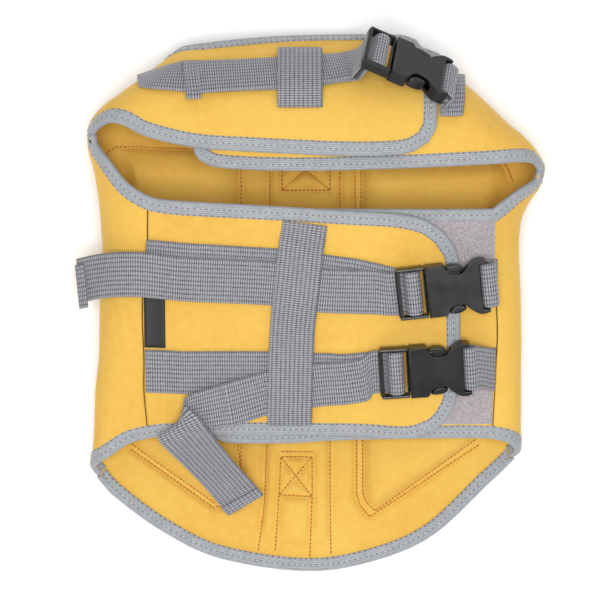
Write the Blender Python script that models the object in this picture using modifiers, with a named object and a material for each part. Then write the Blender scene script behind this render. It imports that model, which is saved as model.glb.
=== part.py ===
"""A dog's life jacket of foam-backed cloth, closed and lying on its back, belly side up.

The jacket is a flattened tube. A padded back panel lies on the ground and rolls up at both
sides; two belly wings and two chest wings close over it, the left ones outermost. Webbing
straps with side-release buckles hold them shut. +Y points to the neck and +Z up. Lengths are
in millimetres until mesh_object and place_object make them metres.
"""
import math

import bmesh
import bpy
import numpy as np
from mathutils import Matrix, Vector

MM = 0.001
GAP = 0.35                 # left between pieces that touch
ORIGIN = (5.99, -1.92)      # plan place of the middle of the whole jacket

WALL = 2.4                 # foam-backed cloth of the wings, and every bound edge
LAYER = 5.9                # rise from an under wing to the wing that closes over it
SIDE_WALL = 4.0            # back panel where it rolls up at the sides
POCKET_WALL = 11.0         # foam pockets of the back panel
SPINE_WALL = 4.5           # back panel between the pockets
SEAM_UNDER = 8.0           # the chest wings' side seams lie this far under the folds

TAPE_WALL = 0.8            # edge binding
TAPE_REACH = 6.0           # how far it covers the cloth on each face
TAPE_NOSE = 1.7            # how far its fold stands beyond the cloth's edge
TAPE_CLEAR = 0.72          # between the tape and the cloth's faces
TAPE_EASE = 0.32           # more on the inside, where the cloth's faces crowd together
CORNER_SHARE = 0.8         # of the cloth's corner cells that the tape covers at most
END_GAP = 0.7              # a tape stops this far before the end of its edge
EDGE_LIFT = TAPE_CLEAR + TAPE_WALL + 0.05
CLOTH_INSET = TAPE_NOSE + TAPE_WALL / 2

WEB_WIDTH = 25.0           # webbing
WEB_WALL = 1.5
BASE_LIFT = 1.65           # middle of a strap above the cloth, first, second and third layer
TAIL_LIFT = 3.5
CHEST_EASE = 0.9           # the chest strap spans the curve of the neck, so it stands higher
PATCH_WALL = 0.8
LABEL_WALL = 0.5
CHEST_FROM_Y = 65.0        # the belly wings lie below this, the chest wings above it
# Rows of points along each strap's base and tail, along the lower strap's folded end, the keepers
UPPER_ROWS, LOWER_ROWS, CHEST_ROWS, FOLD_ROWS, KEEPER_ROWS = (8, 9), (8, 5), (9, 8), 16, (26, 12)
PATCH_GRID, LABEL_GRID = (3, 5), (3, 2)
BELLY_RISE = (-86.0, -60.0)  # the left belly wing rises over the right one between these
CHEST_RISE_X = -62.5       # the left chest wing has risen over the right one by here
SEAM_CROWD = 1.1           # how much closer a belly wing's rows lie at its seam
TAPE_STEP = 1.5            # rows of a tape closer than this are left out
TAPE_PAST = 0.3            # how far the tape's inner fold runs past the cloth's edge
TAPE_SHARPEST = 0.6        # limits the reach of a tape's corner
POCKET_OUT = -2.0          # a foam pocket starts to rise this far outside its outline
NECK_DIP = 2.0             # the middle of the back's neck edge lies this much lower
BUCKLE_MIDDLE = 6.0        # height of a window cutter's middle
LADDER_EDGE, BODY_EDGE = 1.0, 1.6   # bevels of the buckle's two halves

# The flattened tube, tail to neck: y, left fold x, right fold x, height
STATIONS = (
    (-170.0, -119.5, 126.0, 21.0),
    (-98.0, -119.5, 126.0, 22.0),
    (-86.0, -118.2, 125.6, 24.0),
    (-73.7, -117.4, 125.9, 26.0),
    (-53.8, -116.6, 126.0, 31.0),
    (-28.3, -114.0, 126.0, 37.0),
    (0.0, -113.5, 124.8, 43.0),
    (28.2, -112.0, 123.8, 49.0),
    (43.4, -112.8, 125.0, 52.0),
    (53.6, -113.4, 129.0, 54.0),
    (66.5, -115.0, 137.0, 56.0),
    (74.0, -116.4, 138.3, 57.5),
    (84.6, -119.4, 133.0, 58.5),
    (92.5, -120.2, 125.8, 58.5),
    (99.4, -118.6, 117.4, 58.0),
    (107.9, -112.5, 109.0, 56.5),
    (116.0, -101.7, 100.6, 53.0),
    (123.0, -91.6, 93.0, 47.0),
    (130.7, -81.0, 86.5, 39.0),
    (138.0, -70.7, 81.5, 29.0),
    (144.0, -62.0, 79.0, 20.0),
    (148.0, -56.0, 78.0, 14.0),
    (156.0, -50.0, 77.0, 9.0),
)

# Plan places (x, y) along each edge of the cloth, out to the fold of its binding
TAIL_EDGE = (
    (-116.7, -102.0), (-106.3, -113.4), (-78.9, -133.2), (-45.9, -148.6), (4.4, -155.9),
    (43.9, -149.6), (76.9, -134.9), (109.6, -104.5), (123.0, -91.5),
)
LEFT_ROLL_TAIL = ((-119.4, -95.5), (-111.9, -91.2), (-97.0, -81.8), (-86.3, -78.7))
LEFT_ROLL_LEG = (
    (-115.8, 92.5), (-114.8, 87.6), (-110.6, 81.6), (-99.5, 68.4), (-92.3, 62.3), (-84.7, 58.0),
)
RIGHT_ROLL_TAIL = ((125.5, -86.5), (121.0, -82.6), (116.0, -80.4), (108.9, -78.8))
RIGHT_ROLL_LEG = (
    (134.4, 72.0), (132.8, 67.6), (128.6, 64.3), (123.0, 61.0), (116.0, 56.4), (107.3, 50.5),
)
LEFT_SEAM = ((-86.3, -78.7), (-88.0, -25.0), (-87.3, 10.0), (-84.7, 58.0))
RIGHT_SEAM = ((108.9, -78.8), (110.2, -40.0), (110.0, 0.0), (107.3, 50.5))
SIDE_ROLLS = {-1: (LEFT_ROLL_TAIL, LEFT_ROLL_LEG, LEFT_SEAM),
              1: (RIGHT_ROLL_TAIL, RIGHT_ROLL_LEG, RIGHT_SEAM)}
LEFT_BELLY = {
    "low": ((-86.3, -78.7), (-70.0, -76.4), (-33.8, -75.3), (29.3, -76.1), (60.0, -77.6),
            (75.7, -72.5), (82.5, -66.5)),
    "high": ((-84.7, 58.0), (-76.9, 56.1), (-55.3, 54.8), (-12.7, 52.6), (27.7, 50.1),
             (54.0, 48.5), (70.0, 44.8), (80.5, 37.8)),
    "end": ((82.5, -66.5), (87.6, -56.0), (89.0, -40.0), (89.5, -15.0), (89.0, 10.0),
            (87.6, 26.0), (80.5, 37.8)),
}
RIGHT_BELLY = {
    "low": ((-51.5, -74.5), (-41.9, -80.8), (-5.7, -81.3), (23.8, -79.6), (88.9, -78.4),
            (108.9, -78.8)),
    "high": ((-51.5, 44.0), (-42.0, 50.0), (-5.0, 50.6), (50.0, 50.4), (83.5, 50.4),
             (107.3, 50.5)),
    "end": ((-51.5, -74.5), (-55.5, -62.0), (-56.0, -20.0), (-56.0, 32.0), (-51.5, 44.0)),
}
LEFT_CHEST = {
    "low": ((-115.8, 92.5), (-111.0, 96.4), (-105.0, 98.0), (-97.0, 96.2), (-84.4, 90.0),
            (-59.0, 84.3), (-28.7, 82.1), (27.6, 79.7), (58.0, 81.0), (70.9, 87.0)),
    "high": ((-61.5, 140.2), (-38.6, 143.7), (-5.7, 146.4), (30.0, 147.6), (56.0, 147.0),
             (66.5, 143.5)),
    "end": ((70.9, 87.0), (75.6, 97.0), (76.0, 110.0), (73.6, 130.0), (66.5, 143.5)),
}
RIGHT_CHEST = {
    "low": ((-57.5, 79.0), (-42.1, 72.3), (2.8, 71.3), (49.8, 72.4), (104.3, 74.9),
            (121.0, 76.4), (131.0, 76.4), (134.4, 72.0)),
    "high": ((-46.0, 141.0), (-34.0, 143.0), (10.0, 145.5), (50.0, 145.5), (65.0, 144.3),
             (75.0, 141.4)),
    "end": ((-57.5, 79.0), (-60.0, 95.0), (-57.5, 112.0), (-51.0, 130.0), (-46.0, 141.0)),
}
NECK_BACK_Y = 133.0
CHEST_SEAM_Y = {-1: 92.5, 1: 72.0}   # where the side seams leave the leg openings
SEAM_GAP = 1.6
EDGE_FLAT = (11.0, 26.0)             # the back panel thickens between these from its edges

POCKETS = (                # foam pockets of the back panel: x from, x to, y from, y to
    (-111.0, -34.0, -120.0, 84.0),
    (34.0, 119.0, -120.0, 78.0),
)
POCKET_SLOPE = 16.0        # over which a pocket thickens from its seam
SPINE_GROOVE = (0.0, 24.0, WEB_WALL + GAP)   # x, half width, depth: it takes the back strap
BACK_STRAP_Y = (-134.0, 66.0)

BACK_ROWS, BACK_COLS, ROLL_COLS, ROLL_SEAM_COLS = 22, 20, 7, 2
BELLY_GRID, CHEST_GRID = (11, 18), (8, 18)

# Straps on the belly: plan places of the middle of each, from its seam to its buckle and back
UPPER_BASE = ((-86.0, 21.6), (-12.7, 17.4), (13.8, 14.1), (31.6, 11.6))
UPPER_TAIL = ((42.1, 5.8), (11.6, 6.9), (-13.8, 10.5), (-71.0, 13.3))
UPPER_END = (              # the middle of its free end and how far its face leans left
    (-88.0, 14.0, 54.5, -0.05), (-101.3, 14.1, 51.0, -0.35), (-112.5, 13.1, 44.5, -0.6),
    (-124.2, 10.9, 34.5, -0.8),
)
LOWER_BASE = ((-86.8, -39.8), (-17.9, -39.6), (7.8, -40.6), (27.0, -41.0))
LOWER_TAIL = ((36.0, -43.0), (26.2, -44.8), (7.8, -46.3), (-19.0, -50.6))
# The lower strap's free end folds over itself and falls into the tail: both edges and heights
LOWER_END = (              # upper edge x, y, z, lower edge x, y, z
    (-40.0, -46.0, 42.5, -36.0, -70.6, 36.6),
    (-55.0, -50.6, 41.6, -56.5, -73.2, 36.6),
    (-62.4, -53.4, 41.4, -74.0, -74.2, 36.8),
    (-65.2, -56.6, 42.8, -79.4, -75.6, 38.6),
    (-63.4, -59.6, 44.4, -79.0, -79.2, 40.2),
    (-57.0, -65.0, 44.0, -73.6, -85.2, 38.0),
    (-51.0, -73.0, 40.5, -68.0, -91.0, 32.5),
    (-44.0, -82.7, 32.5, -61.0, -99.0, 23.5),
    (-36.0, -93.0, 23.5, -53.0, -108.0, 17.5),
    (-28.0, -102.5, 18.6, -46.4, -116.2, 15.2),
    (-20.8, -110.4, 16.6, -41.0, -122.4, 12.8),
)
KEEPER = (                 # upright strap over both: x, y, lift
    (2.7, 41.5, 1.4), (1.6, 36.0, 3.6), (0.6, 31.0, 5.4), (-0.5, 20.0, 5.4), (-2.0, 6.0, 5.4),
    (-3.2, -4.0, 5.4), (-4.2, -15.0, 3.8), (-4.8, -25.0, 5.4), (-5.2, -40.0, 5.4),
    (-5.6, -57.0, 5.4), (-5.8, -63.6, 5.2), (-5.8, -67.4, 3.6),
)
CHEST_BASE = ((-86.5, 121.5), (-66.8, 122.6), (-47.2, 121.8), (-12.8, 122.2), (6.0, 123.2),
              (16.0, 124.8), (26.0, 126.0))
CHEST_TAIL = ((22.0, 126.0), (12.2, 124.2), (-12.8, 122.2), (-47.2, 121.2), (-61.0, 121.6))
CHEST_KEEPER = ((0.0, 138.6, 1.5), (0.0, 137.0, 5.2), (0.0, 130.0, 7.6), (0.0, 122.0, 8.3),
                (0.0, 114.0, 7.2), (0.0, 108.6, 5.8), (0.0, 104.5, 1.5))

# Buckles: where the anchor is sewn, the ladder's outer end, heading and roll in degrees
BUCKLES = {
    "upper": ((108.6, 11.0), (53.7, 5.6), 6.5, 3.0),
    "lower": ((108.6, -38.5), (44.3, -38.2), 4.0, 4.0),
    "chest": ((88.6, 111.5), (33.0, 135.8), -22.5, -45.0),
}
CHEST_BUCKLE = (-11.0, 66.4)   # the tilted buckle's climb in degrees and its ladder end's height
BUCKLE_LIFT = 1.0          # of the other two off the cloth
# Each buckle lies along x from its ladder's end, z off the cloth: boxes x, y, z from and to
LADDER = ((0.0, 16.5), (-14.6, 14.6), (4.4, 9.2))
LADDER_SLOTS = (((2.4, 7.6), (-12.9, 12.9), (0.0, 12.0)), ((10.3, 15.2), (-12.9, 12.9), (0.0, 12.0)))
LADDER_RAILS = (((0.9, 16.4), (13.1, 14.5), (2.6, 9.4)), ((0.9, 16.4), (-14.5, -13.1), (2.6, 9.4)))
BAR_TOP = ((7.0, 10.9), (-12.9, 12.9), (7.6, 12.0))
PRONGS = (((15.6, 40.0), (-3.5, 3.5), (4.6, 7.6)), ((15.6, 36.5), (7.6, 11.4), (4.6, 7.6)),
          ((15.6, 36.5), (-11.4, -7.6), (4.6, 7.6)), ((29.6, 36.5), (11.0, 13.8), (3.4, 9.0)),
          ((29.6, 36.5), (-13.8, -11.0), (3.4, 9.0)))
BODY = ((16.9, 51.2), (-14.9, 14.9), (1.8, 10.1))
BODY_MOUTH = ((10.0, 42.0), (-12.6, 12.6), (4.0, 8.2))
BODY_END = ((46.7, 60.0), (-12.9, 12.9), (0.0, 12.0))
BODY_BAR = ((49.0, 50.8), (-13.4, 13.4), (4.6, 7.0))
WINDOW = (33.2, 15.6, 7.0)  # half-moon windows: x, y either side, radius
ANCHOR_LOOP = (             # an anchor strap round the body's bar: x, z
    (55.4, 6.0), (53.3, 8.1), (50.4, 8.8), (48.5, 7.9), (47.8, 5.8), (48.5, 3.7), (50.4, 2.8),
    (52.8, 3.4), (53.8, 4.6),
)
ANCHOR_START = (2.2, 1.5)  # rise and run of an anchor's first bend off the cloth
ANCHOR_ROWS, ANCHOR_TURN = 20, 7
LADDER_RUN = (              # a strap up through a ladder and back: x, z
    (5.6, 1.5), (10.0, 1.6), (12.2, 2.5), (13.0, 4.4), (13.0, 6.6), (11.9, 8.4), (9.1, 8.9),
    (6.7, 8.2), (5.7, 6.6), (5.3, 5.2), (4.5, 3.95), (2.0, 3.35), (-4.0, 3.3),
)
LABEL_PLACE = (-86.9, -75.2, -26.6, 5.0)
PATCHES = (("upper", -1.0, 39.5), ("lower", -70.0, -24.5))
PATCH_X = (64.0, 107.0)

MATERIALS = {              # base colour (linear), roughness
    "neoprene": ((0.90, 0.53, 0.12), 0.85),
    "tape": ((0.42, 0.42, 0.43), 0.8),
    "webbing": ((0.25, 0.25, 0.27), 0.8),
    "acetal": ((0.035, 0.035, 0.038), 0.45),
    "loop": ((0.37, 0.33, 0.34), 0.95),
    "label": ((0.02, 0.02, 0.02), 0.7),
}


# ---- curves and the tube -------------------------------------------------------------------

def smooth_column(table, column):
    """A monotone cubic through one column of a table whose first column rises."""
    t = np.array([row[0] for row in table], float)
    v = np.array([row[column] for row in table], float)
    slope = np.diff(v) / np.diff(t)
    turn = np.zeros(len(t))
    for i in range(1, len(t) - 1):
        if slope[i - 1] * slope[i] > 0:
            turn[i] = 2 * slope[i - 1] * slope[i] / (slope[i - 1] + slope[i])
    turn[0], turn[-1] = slope[0], slope[-1]

    def value(at):
        at = min(max(at, t[0]), t[-1])
        i = min(int(np.searchsorted(t, at, side="right")) - 1, len(t) - 2)
        h = t[i + 1] - t[i]
        a = (at - t[i]) / h
        return float(v[i] * (1 + 2 * a) * (1 - a) ** 2 + turn[i] * h * a * (1 - a) ** 2
                     + v[i + 1] * a * a * (3 - 2 * a) + turn[i + 1] * h * a * a * (a - 1))

    return value


left_fold = smooth_column(STATIONS, 1)
right_fold = smooth_column(STATIONS, 2)
tube_height = smooth_column(STATIONS, 3)


def half_girth(y):
    """Distance over the top from the left fold to the right fold."""
    r = tube_height(y) / 2
    return right_fold(y) - left_fold(y) - 2 * r + math.pi * r


def skin(y, s):
    """The tube's surface at a girth s from the left fold, over the top; negative s is below."""
    left, right, r = left_fold(y), right_fold(y), tube_height(y) / 2
    arc, flat = math.pi * r / 2, right - left - 2 * r
    if s < -arc - flat / 2:
        s += 2 * (2 * arc + flat)
    if s < -arc:
        return Vector((left + r - s - arc, y, 0))
    if s <= arc:
        return Vector((left + r - r * math.cos(s / r), y, r + r * math.sin(s / r)))
    if s < arc + flat:
        return Vector((left + r + s - arc, y, 2 * r))
    a = (s - arc - flat) / r
    if a <= math.pi:
        return Vector((right - r + r * math.sin(a), y, r + r * math.cos(a)))
    return Vector((right - r - (s - 3 * arc - flat), y, 0))


def surface(y, s, lift=0.0):
    """A point lifted off the tube, and the outward normal there."""
    step = 0.5
    along = skin(y + step, s) - skin(y - step, s)
    around = skin(y, s + step) - skin(y, s - step)
    normal = around.cross(along).normalized()
    return skin(y, s) + normal * lift, normal


def over(x, y):
    """Girth place on the tube's upper half of a plan place."""
    left, right, r = left_fold(y), right_fold(y), tube_height(y) / 2
    if x < left + r:
        return r * math.acos(min(1, (left + r - x) / r))
    if x > right - r:
        return half_girth(y) - r * math.acos(min(1, (x - right + r) / r))
    return math.pi * r / 2 + x - left - r


def centred(points, side=0):
    """Plan places as (girth, y), the girth from the middle, or from the fold of a side -1 or 1."""
    return [(over(x, y) - half_girth(y) * (1 + side) / 2, y) for x, y in points]


def curve(points):
    """A smooth curve through the points: a function of 0..1, evenly spaced along it."""
    p = np.array(points, float)
    ends = np.vstack([2 * p[0] - p[1], p, 2 * p[-1] - p[-2]])
    fine = [p[0]]
    for i in range(1, len(ends) - 2):
        a, b, c, d = ends[i - 1:i + 3]
        for k in range(1, 13):
            t = k / 12
            fine.append(0.5 * (2 * b + (c - a) * t + (2 * a - 5 * b + 4 * c - d) * t * t
                               + (3 * b - a - 3 * c + d) * t ** 3))
    fine = np.array(fine)
    length = np.concatenate([[0], np.cumsum(np.linalg.norm(np.diff(fine, axis=0), axis=1))])

    def at(t):
        return np.array([np.interp(t * length[-1], length, fine[:, k])
                         for k in range(fine.shape[1])])

    return at


def patch(low, high, start, end, rows, cols, crowd=1.0):
    """Grid of places between four curves: low and high run across, start and end upward.

    A crowd over 1 draws the columns together towards the end."""
    grid = []
    for i in range(rows + 1):
        v = i / rows
        line = []
        for j in range(cols + 1):
            u = 1 - (1 - j / cols) ** crowd
            corners = ((1 - u) * (1 - v) * low(0) + u * (1 - v) * low(1)
                       + (1 - u) * v * high(0) + u * v * high(1))
            line.append((1 - v) * low(u) + v * high(u) + (1 - u) * start(v) + u * end(v)
                        - corners)
        grid.append(line)
    return grid


def ramp(value, start, end):
    """0 before start, 1 after end, smooth between."""
    t = min(max((value - start) / (end - start), 0), 1)
    return t * t * (3 - 2 * t)


def joined(first, second, share):
    """Two curves end to end, the first taking that share of 0..1."""
    return lambda t: first(t / share) if t <= share else second((t - share) / (1 - share))


def seam_place(y, side, under=SEAM_UNDER):
    """Where a side seam runs under a fold, side -1 left and 1 right, measured over the top."""
    return side * (half_girth(y) / 2 + under), y


def belly_seam(side):
    """The seam between a roll and its belly wing, its girth from the middle."""
    seam = curve(centred(SIDE_ROLLS[side][2], side))

    def at(t):
        c, y = seam(t)
        return np.array((c + side * half_girth(y) / 2, y))

    return at


def side_run(low_y, high_y, side, turn=1):
    """A run along a side seam; turn -1 measures it over the underside."""
    return lambda t: np.array(seam_place(low_y + t * (high_y - low_y), side, turn * SEAM_UNDER))


# ---- meshes --------------------------------------------------------------------------------

def collection(name):
    made = bpy.data.collections.new(name)
    bpy.context.scene.collection.children.link(made)
    return made


def material(name):
    colour, roughness = MATERIALS[name]
    made = bpy.data.materials.get(name)
    if made is None:
        made = bpy.data.materials.new(name)
        made.use_nodes = True
        shader = made.node_tree.nodes["Principled BSDF"]
        shader.inputs["Base Color"].default_value = (*colour, 1)
        shader.inputs["Roughness"].default_value = roughness
        made.diffuse_color = (*colour, 1)
    return made


def mesh_object(name, points, faces, finish):
    """An object from points in millimetres in the jacket's own frame."""
    shift = Vector((ORIGIN[0], ORIGIN[1], 0))
    mesh = bpy.data.meshes.new(name)
    mesh.from_pydata([(Vector(p) - shift) * MM for p in points], [], faces)
    mesh.materials.append(material(finish))
    mesh.shade_smooth()
    made = bpy.data.objects.new(name, mesh)
    PARTS.objects.link(made)
    return made


def grid_faces(rows, cols, index=lambda i, j, cols: i * (cols + 1) + j):
    """Quads over a grid whose rows run upward, facing the side from which columns run right."""
    return [(index(i, j, cols), index(i, j + 1, cols), index(i + 1, j + 1, cols),
             index(i + 1, j, cols)) for i in range(rows) for j in range(cols)]


def solidify(made, wall, offset):
    """Gives an open surface its wall, offset -1 behind its face and 0 on both sides."""
    modifier = made.modifiers.new("wall", "SOLIDIFY")
    modifier.thickness = wall * MM
    modifier.offset = offset
    modifier.use_even_offset = True
    return modifier


def strip(name, rails, wall, finish):
    """A ribbon between two rails of points, its wall on both sides of them."""
    points = [p for pair in rails for p in pair]
    made = mesh_object(name, points, grid_faces(len(rails) - 1, len(rails[0]) - 1), finish)
    solidify(made, wall, 0).use_even_offset = finish == "webbing"
    return made


# ---- cloth ---------------------------------------------------------------------------------

def rim(rows, cols, *sides):
    """Index pairs along some sides of a grid, in order: low, end, high and start."""
    runs = {"low": [(0, j) for j in range(cols + 1)], "high": [(rows, j) for j in range(cols, -1, -1)],
            "end": [(i, cols) for i in range(rows + 1)],
            "start": [(i, 0) for i in range(rows, -1, -1)]}
    path = []
    for side in sides:
        path += [pair for pair in runs[side] if pair not in path]
    return path


def draw_in(grid, path, amount):
    """Moves the border of a grid square to itself, in from the outline by an amount."""
    rows, cols = len(grid) - 1, len(grid[0]) - 1
    moved = []
    for k, (i, j) in enumerate(path):
        ahead, behind = path[min(k + 1, len(path) - 1)], path[max(k - 1, 0)]
        run = grid[ahead[0]][ahead[1]] - grid[behind[0]][behind[1]]
        square = np.array((-run[1], run[0])) / np.linalg.norm(run)
        inner = grid[min(max(i, 1), rows - 1)][min(max(j, 1), cols - 1)] - grid[i][j]
        moved.append(grid[i][j] + square * math.copysign(amount, float(square @ inner)))
    for (i, j), place in zip(path, moved):
        grid[i][j] = place


def lay(grid, lift, side=0):
    """Points and normals of a cloth's outer face over a grid of places measured as centred does."""
    return [[surface(y, c + half_girth(y) * (1 + side) / 2, lift(c, y)) for c, y in line]
            for line in grid]


def read_grid(made, points, grid, walls=None):
    """A grid of (point, mesh normal, wall) from a grid of indices into a mesh's points."""
    normals = [Vector(v.normal) for v in made.data.vertices]
    return [[(points[k], normals[k], walls[k] if walls else WALL) for k in line] for line in grid]


def left_belly_lift(c, y):
    middle = over(0, y) - half_girth(y) / 2
    return LAYER * ramp(c - middle, *BELLY_RISE)


def left_chest_lift(c, y):
    start = -half_girth(y) / 2 - SEAM_UNDER
    end = over(CHEST_RISE_X, y) - half_girth(y) / 2
    return LAYER * ramp(c, start, end)


def no_lift(_c, _y):
    return 0.0


def wing(name, outline, seam, lift, size, seam_cols=0):
    """A wing of foam-backed cloth, its columns from its side seam to its free end.

    The first seam_cols of its low edge are sewn on too, before that edge comes free."""
    low, high, end = (curve(outline[k]) for k in ("low", "high", "end"))
    if seam_cols:
        low = joined(curve([seam(0), outline["low"][0]]), low, seam_cols / size[1])
    grid = patch(low, high, seam, end, *size, crowd=1.0 if seam_cols else SEAM_CROWD)
    edge = rim(*size, "low", "end", "high")
    draw_in(grid, edge[:seam_cols], SEAM_GAP)
    draw_in(grid, edge[seam_cols:], CLOTH_INSET)
    draw_in(grid, rim(*size, "start"), SEAM_GAP)
    laid = lay(grid, lift)
    points = [p for line in laid for p, _ in line]
    faces = grid_faces(*size)
    if low(0)[0] > low(1)[0]:
        faces = [f[::-1] for f in faces]
    made = mesh_object(name, points, faces, "neoprene")
    solidify(made, WALL, -1).use_even_offset = False
    return read_grid(made, points, [[i * (size[1] + 1) + j for j in range(size[1] + 1)]
                                    for i in range(size[0] + 1)])


def border(cloth, side, first=0):
    """A side of a cloth's grid, in rising row or column: each place with those inward of it.

    A cloth is a grid of (point, normal, wall) read back from its mesh."""
    rows, cols = len(cloth) - 1, len(cloth[0]) - 1
    if side in ("low", "high"):
        i, step = (0, 1) if side == "low" else (rows, -1)
        return [[cloth[i + step * n][j] for n in range(4)] for j in range(first, cols + 1)]
    j, step = (0, 1) if side == "start" else (cols, -1)
    return [[cloth[i][j + step * n] for n in range(4)] for i in range(rows + 1)]


def wing_border(cloth, seam_cols=0):
    """The bound edge of a wing, from its seam along the top, round its end and back below."""
    rows, cols = len(cloth) - 1, len(cloth[0]) - 1
    low, high, end = border(cloth, "low", seam_cols), border(cloth, "high"), border(cloth, "end")
    high[-1] = [cloth[rows - n][cols - n] for n in range(2)]
    low[-1] = [cloth[n][cols - n] for n in range(2)]
    for line in (high[-2], end[-2], end[1], low[-2]):
        del line[2:]
    return high + end[-2:0:-1] + low[::-1]


def inward_of(line, distance):
    """The point, normal and wall at a distance inward along a line of a cloth's places.

    Its last value is how far the places passed stand above the straight line to it."""
    passed = []
    for (point, normal, wall), (inner, inner_normal, inner_wall) in zip(line, line[1:]):
        length = (inner - point).length
        if distance <= length or inner is line[-1][0]:
            share = min(distance / length, CORNER_SHARE if len(line) == 2 else 1)
            reach = point.lerp(inner, share)
            up = normal.lerp(inner_normal, share).normalized()
            bulge = 0.0
            for place in passed:
                along = (reach - line[0][0]).normalized()
                offset = place - line[0][0]
                bulge = max(bulge, (offset - along * offset.dot(along)).dot(up), key=abs)
            return reach, up, wall + (inner_wall - wall) * share, bulge
        passed.append(inner)
        distance -= length


def binding(name, edge):
    """Edge tape folded over a border of cloth, its legs parallel to the cloth's own faces."""
    run = [edge[0]]
    for line in edge[1:]:
        if (line[0][0] - run[-1][0][0]).length > TAPE_STEP:
            run.append(line)
    frames = []
    for k, line in enumerate(run):
        tangent = (run[min(k + 1, len(run) - 1)][0][0] - run[max(k - 1, 0)][0][0]).normalized()
        frames.append((tangent, tangent.cross(line[0][1]).normalized()))
    side = math.copysign(1, sum((line[0][0] - line[1][0]).dot(level)
                                for line, (_, level) in zip(run, frames)))
    clear = TAPE_CLEAR + TAPE_WALL / 2
    rails = []
    for k, (line, (tangent, level)) in enumerate(zip(run, frames)):
        point, normal, wall = line[0]
        level = level * side
        square = max(level.dot((point - line[1][0]).normalized()), TAPE_SHARPEST)
        reach, up, depth, bulge = inward_of(line, TAPE_REACH / square)
        if k in (0, len(run) - 1):
            shift = tangent * (END_GAP if k == 0 else -END_GAP)
            point, reach = point + shift, reach + shift
        above, below = clear + max(2 * bulge, 0), clear + TAPE_EASE + max(-2 * bulge, 0)
        rails.append((reach + up * above, point + level * TAPE_PAST + normal * clear,
                      point + level * TAPE_NOSE - normal * wall / 2,
                      point + level * TAPE_PAST - normal * (wall + clear + TAPE_EASE),
                      reach - up * (depth + below)))
    return strip(name, rails, TAPE_WALL, "tape")


def pocket_depth(x, y):
    """0 outside the foam pockets, 1 well inside one."""
    depth = 0
    for x0, x1, y0, y1 in POCKETS:
        inside = min(x - x0, x1 - x, y - y0, y1 - y)
        depth = max(depth, ramp(inside, POCKET_OUT, POCKET_SLOPE))
    return depth


def back_wall(point, edge_points):
    """Thickness of the back panel at a point of its outer face, given its bound edges."""
    nearest = min((point - other).length for other in edge_points)
    full = SPINE_WALL + pocket_depth(point.x, point.y) * (POCKET_WALL - SPINE_WALL)
    if point.z > 3:
        full = SIDE_WALL
    return WALL + ramp(nearest, *EDGE_FLAT) * (full - WALL)


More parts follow.
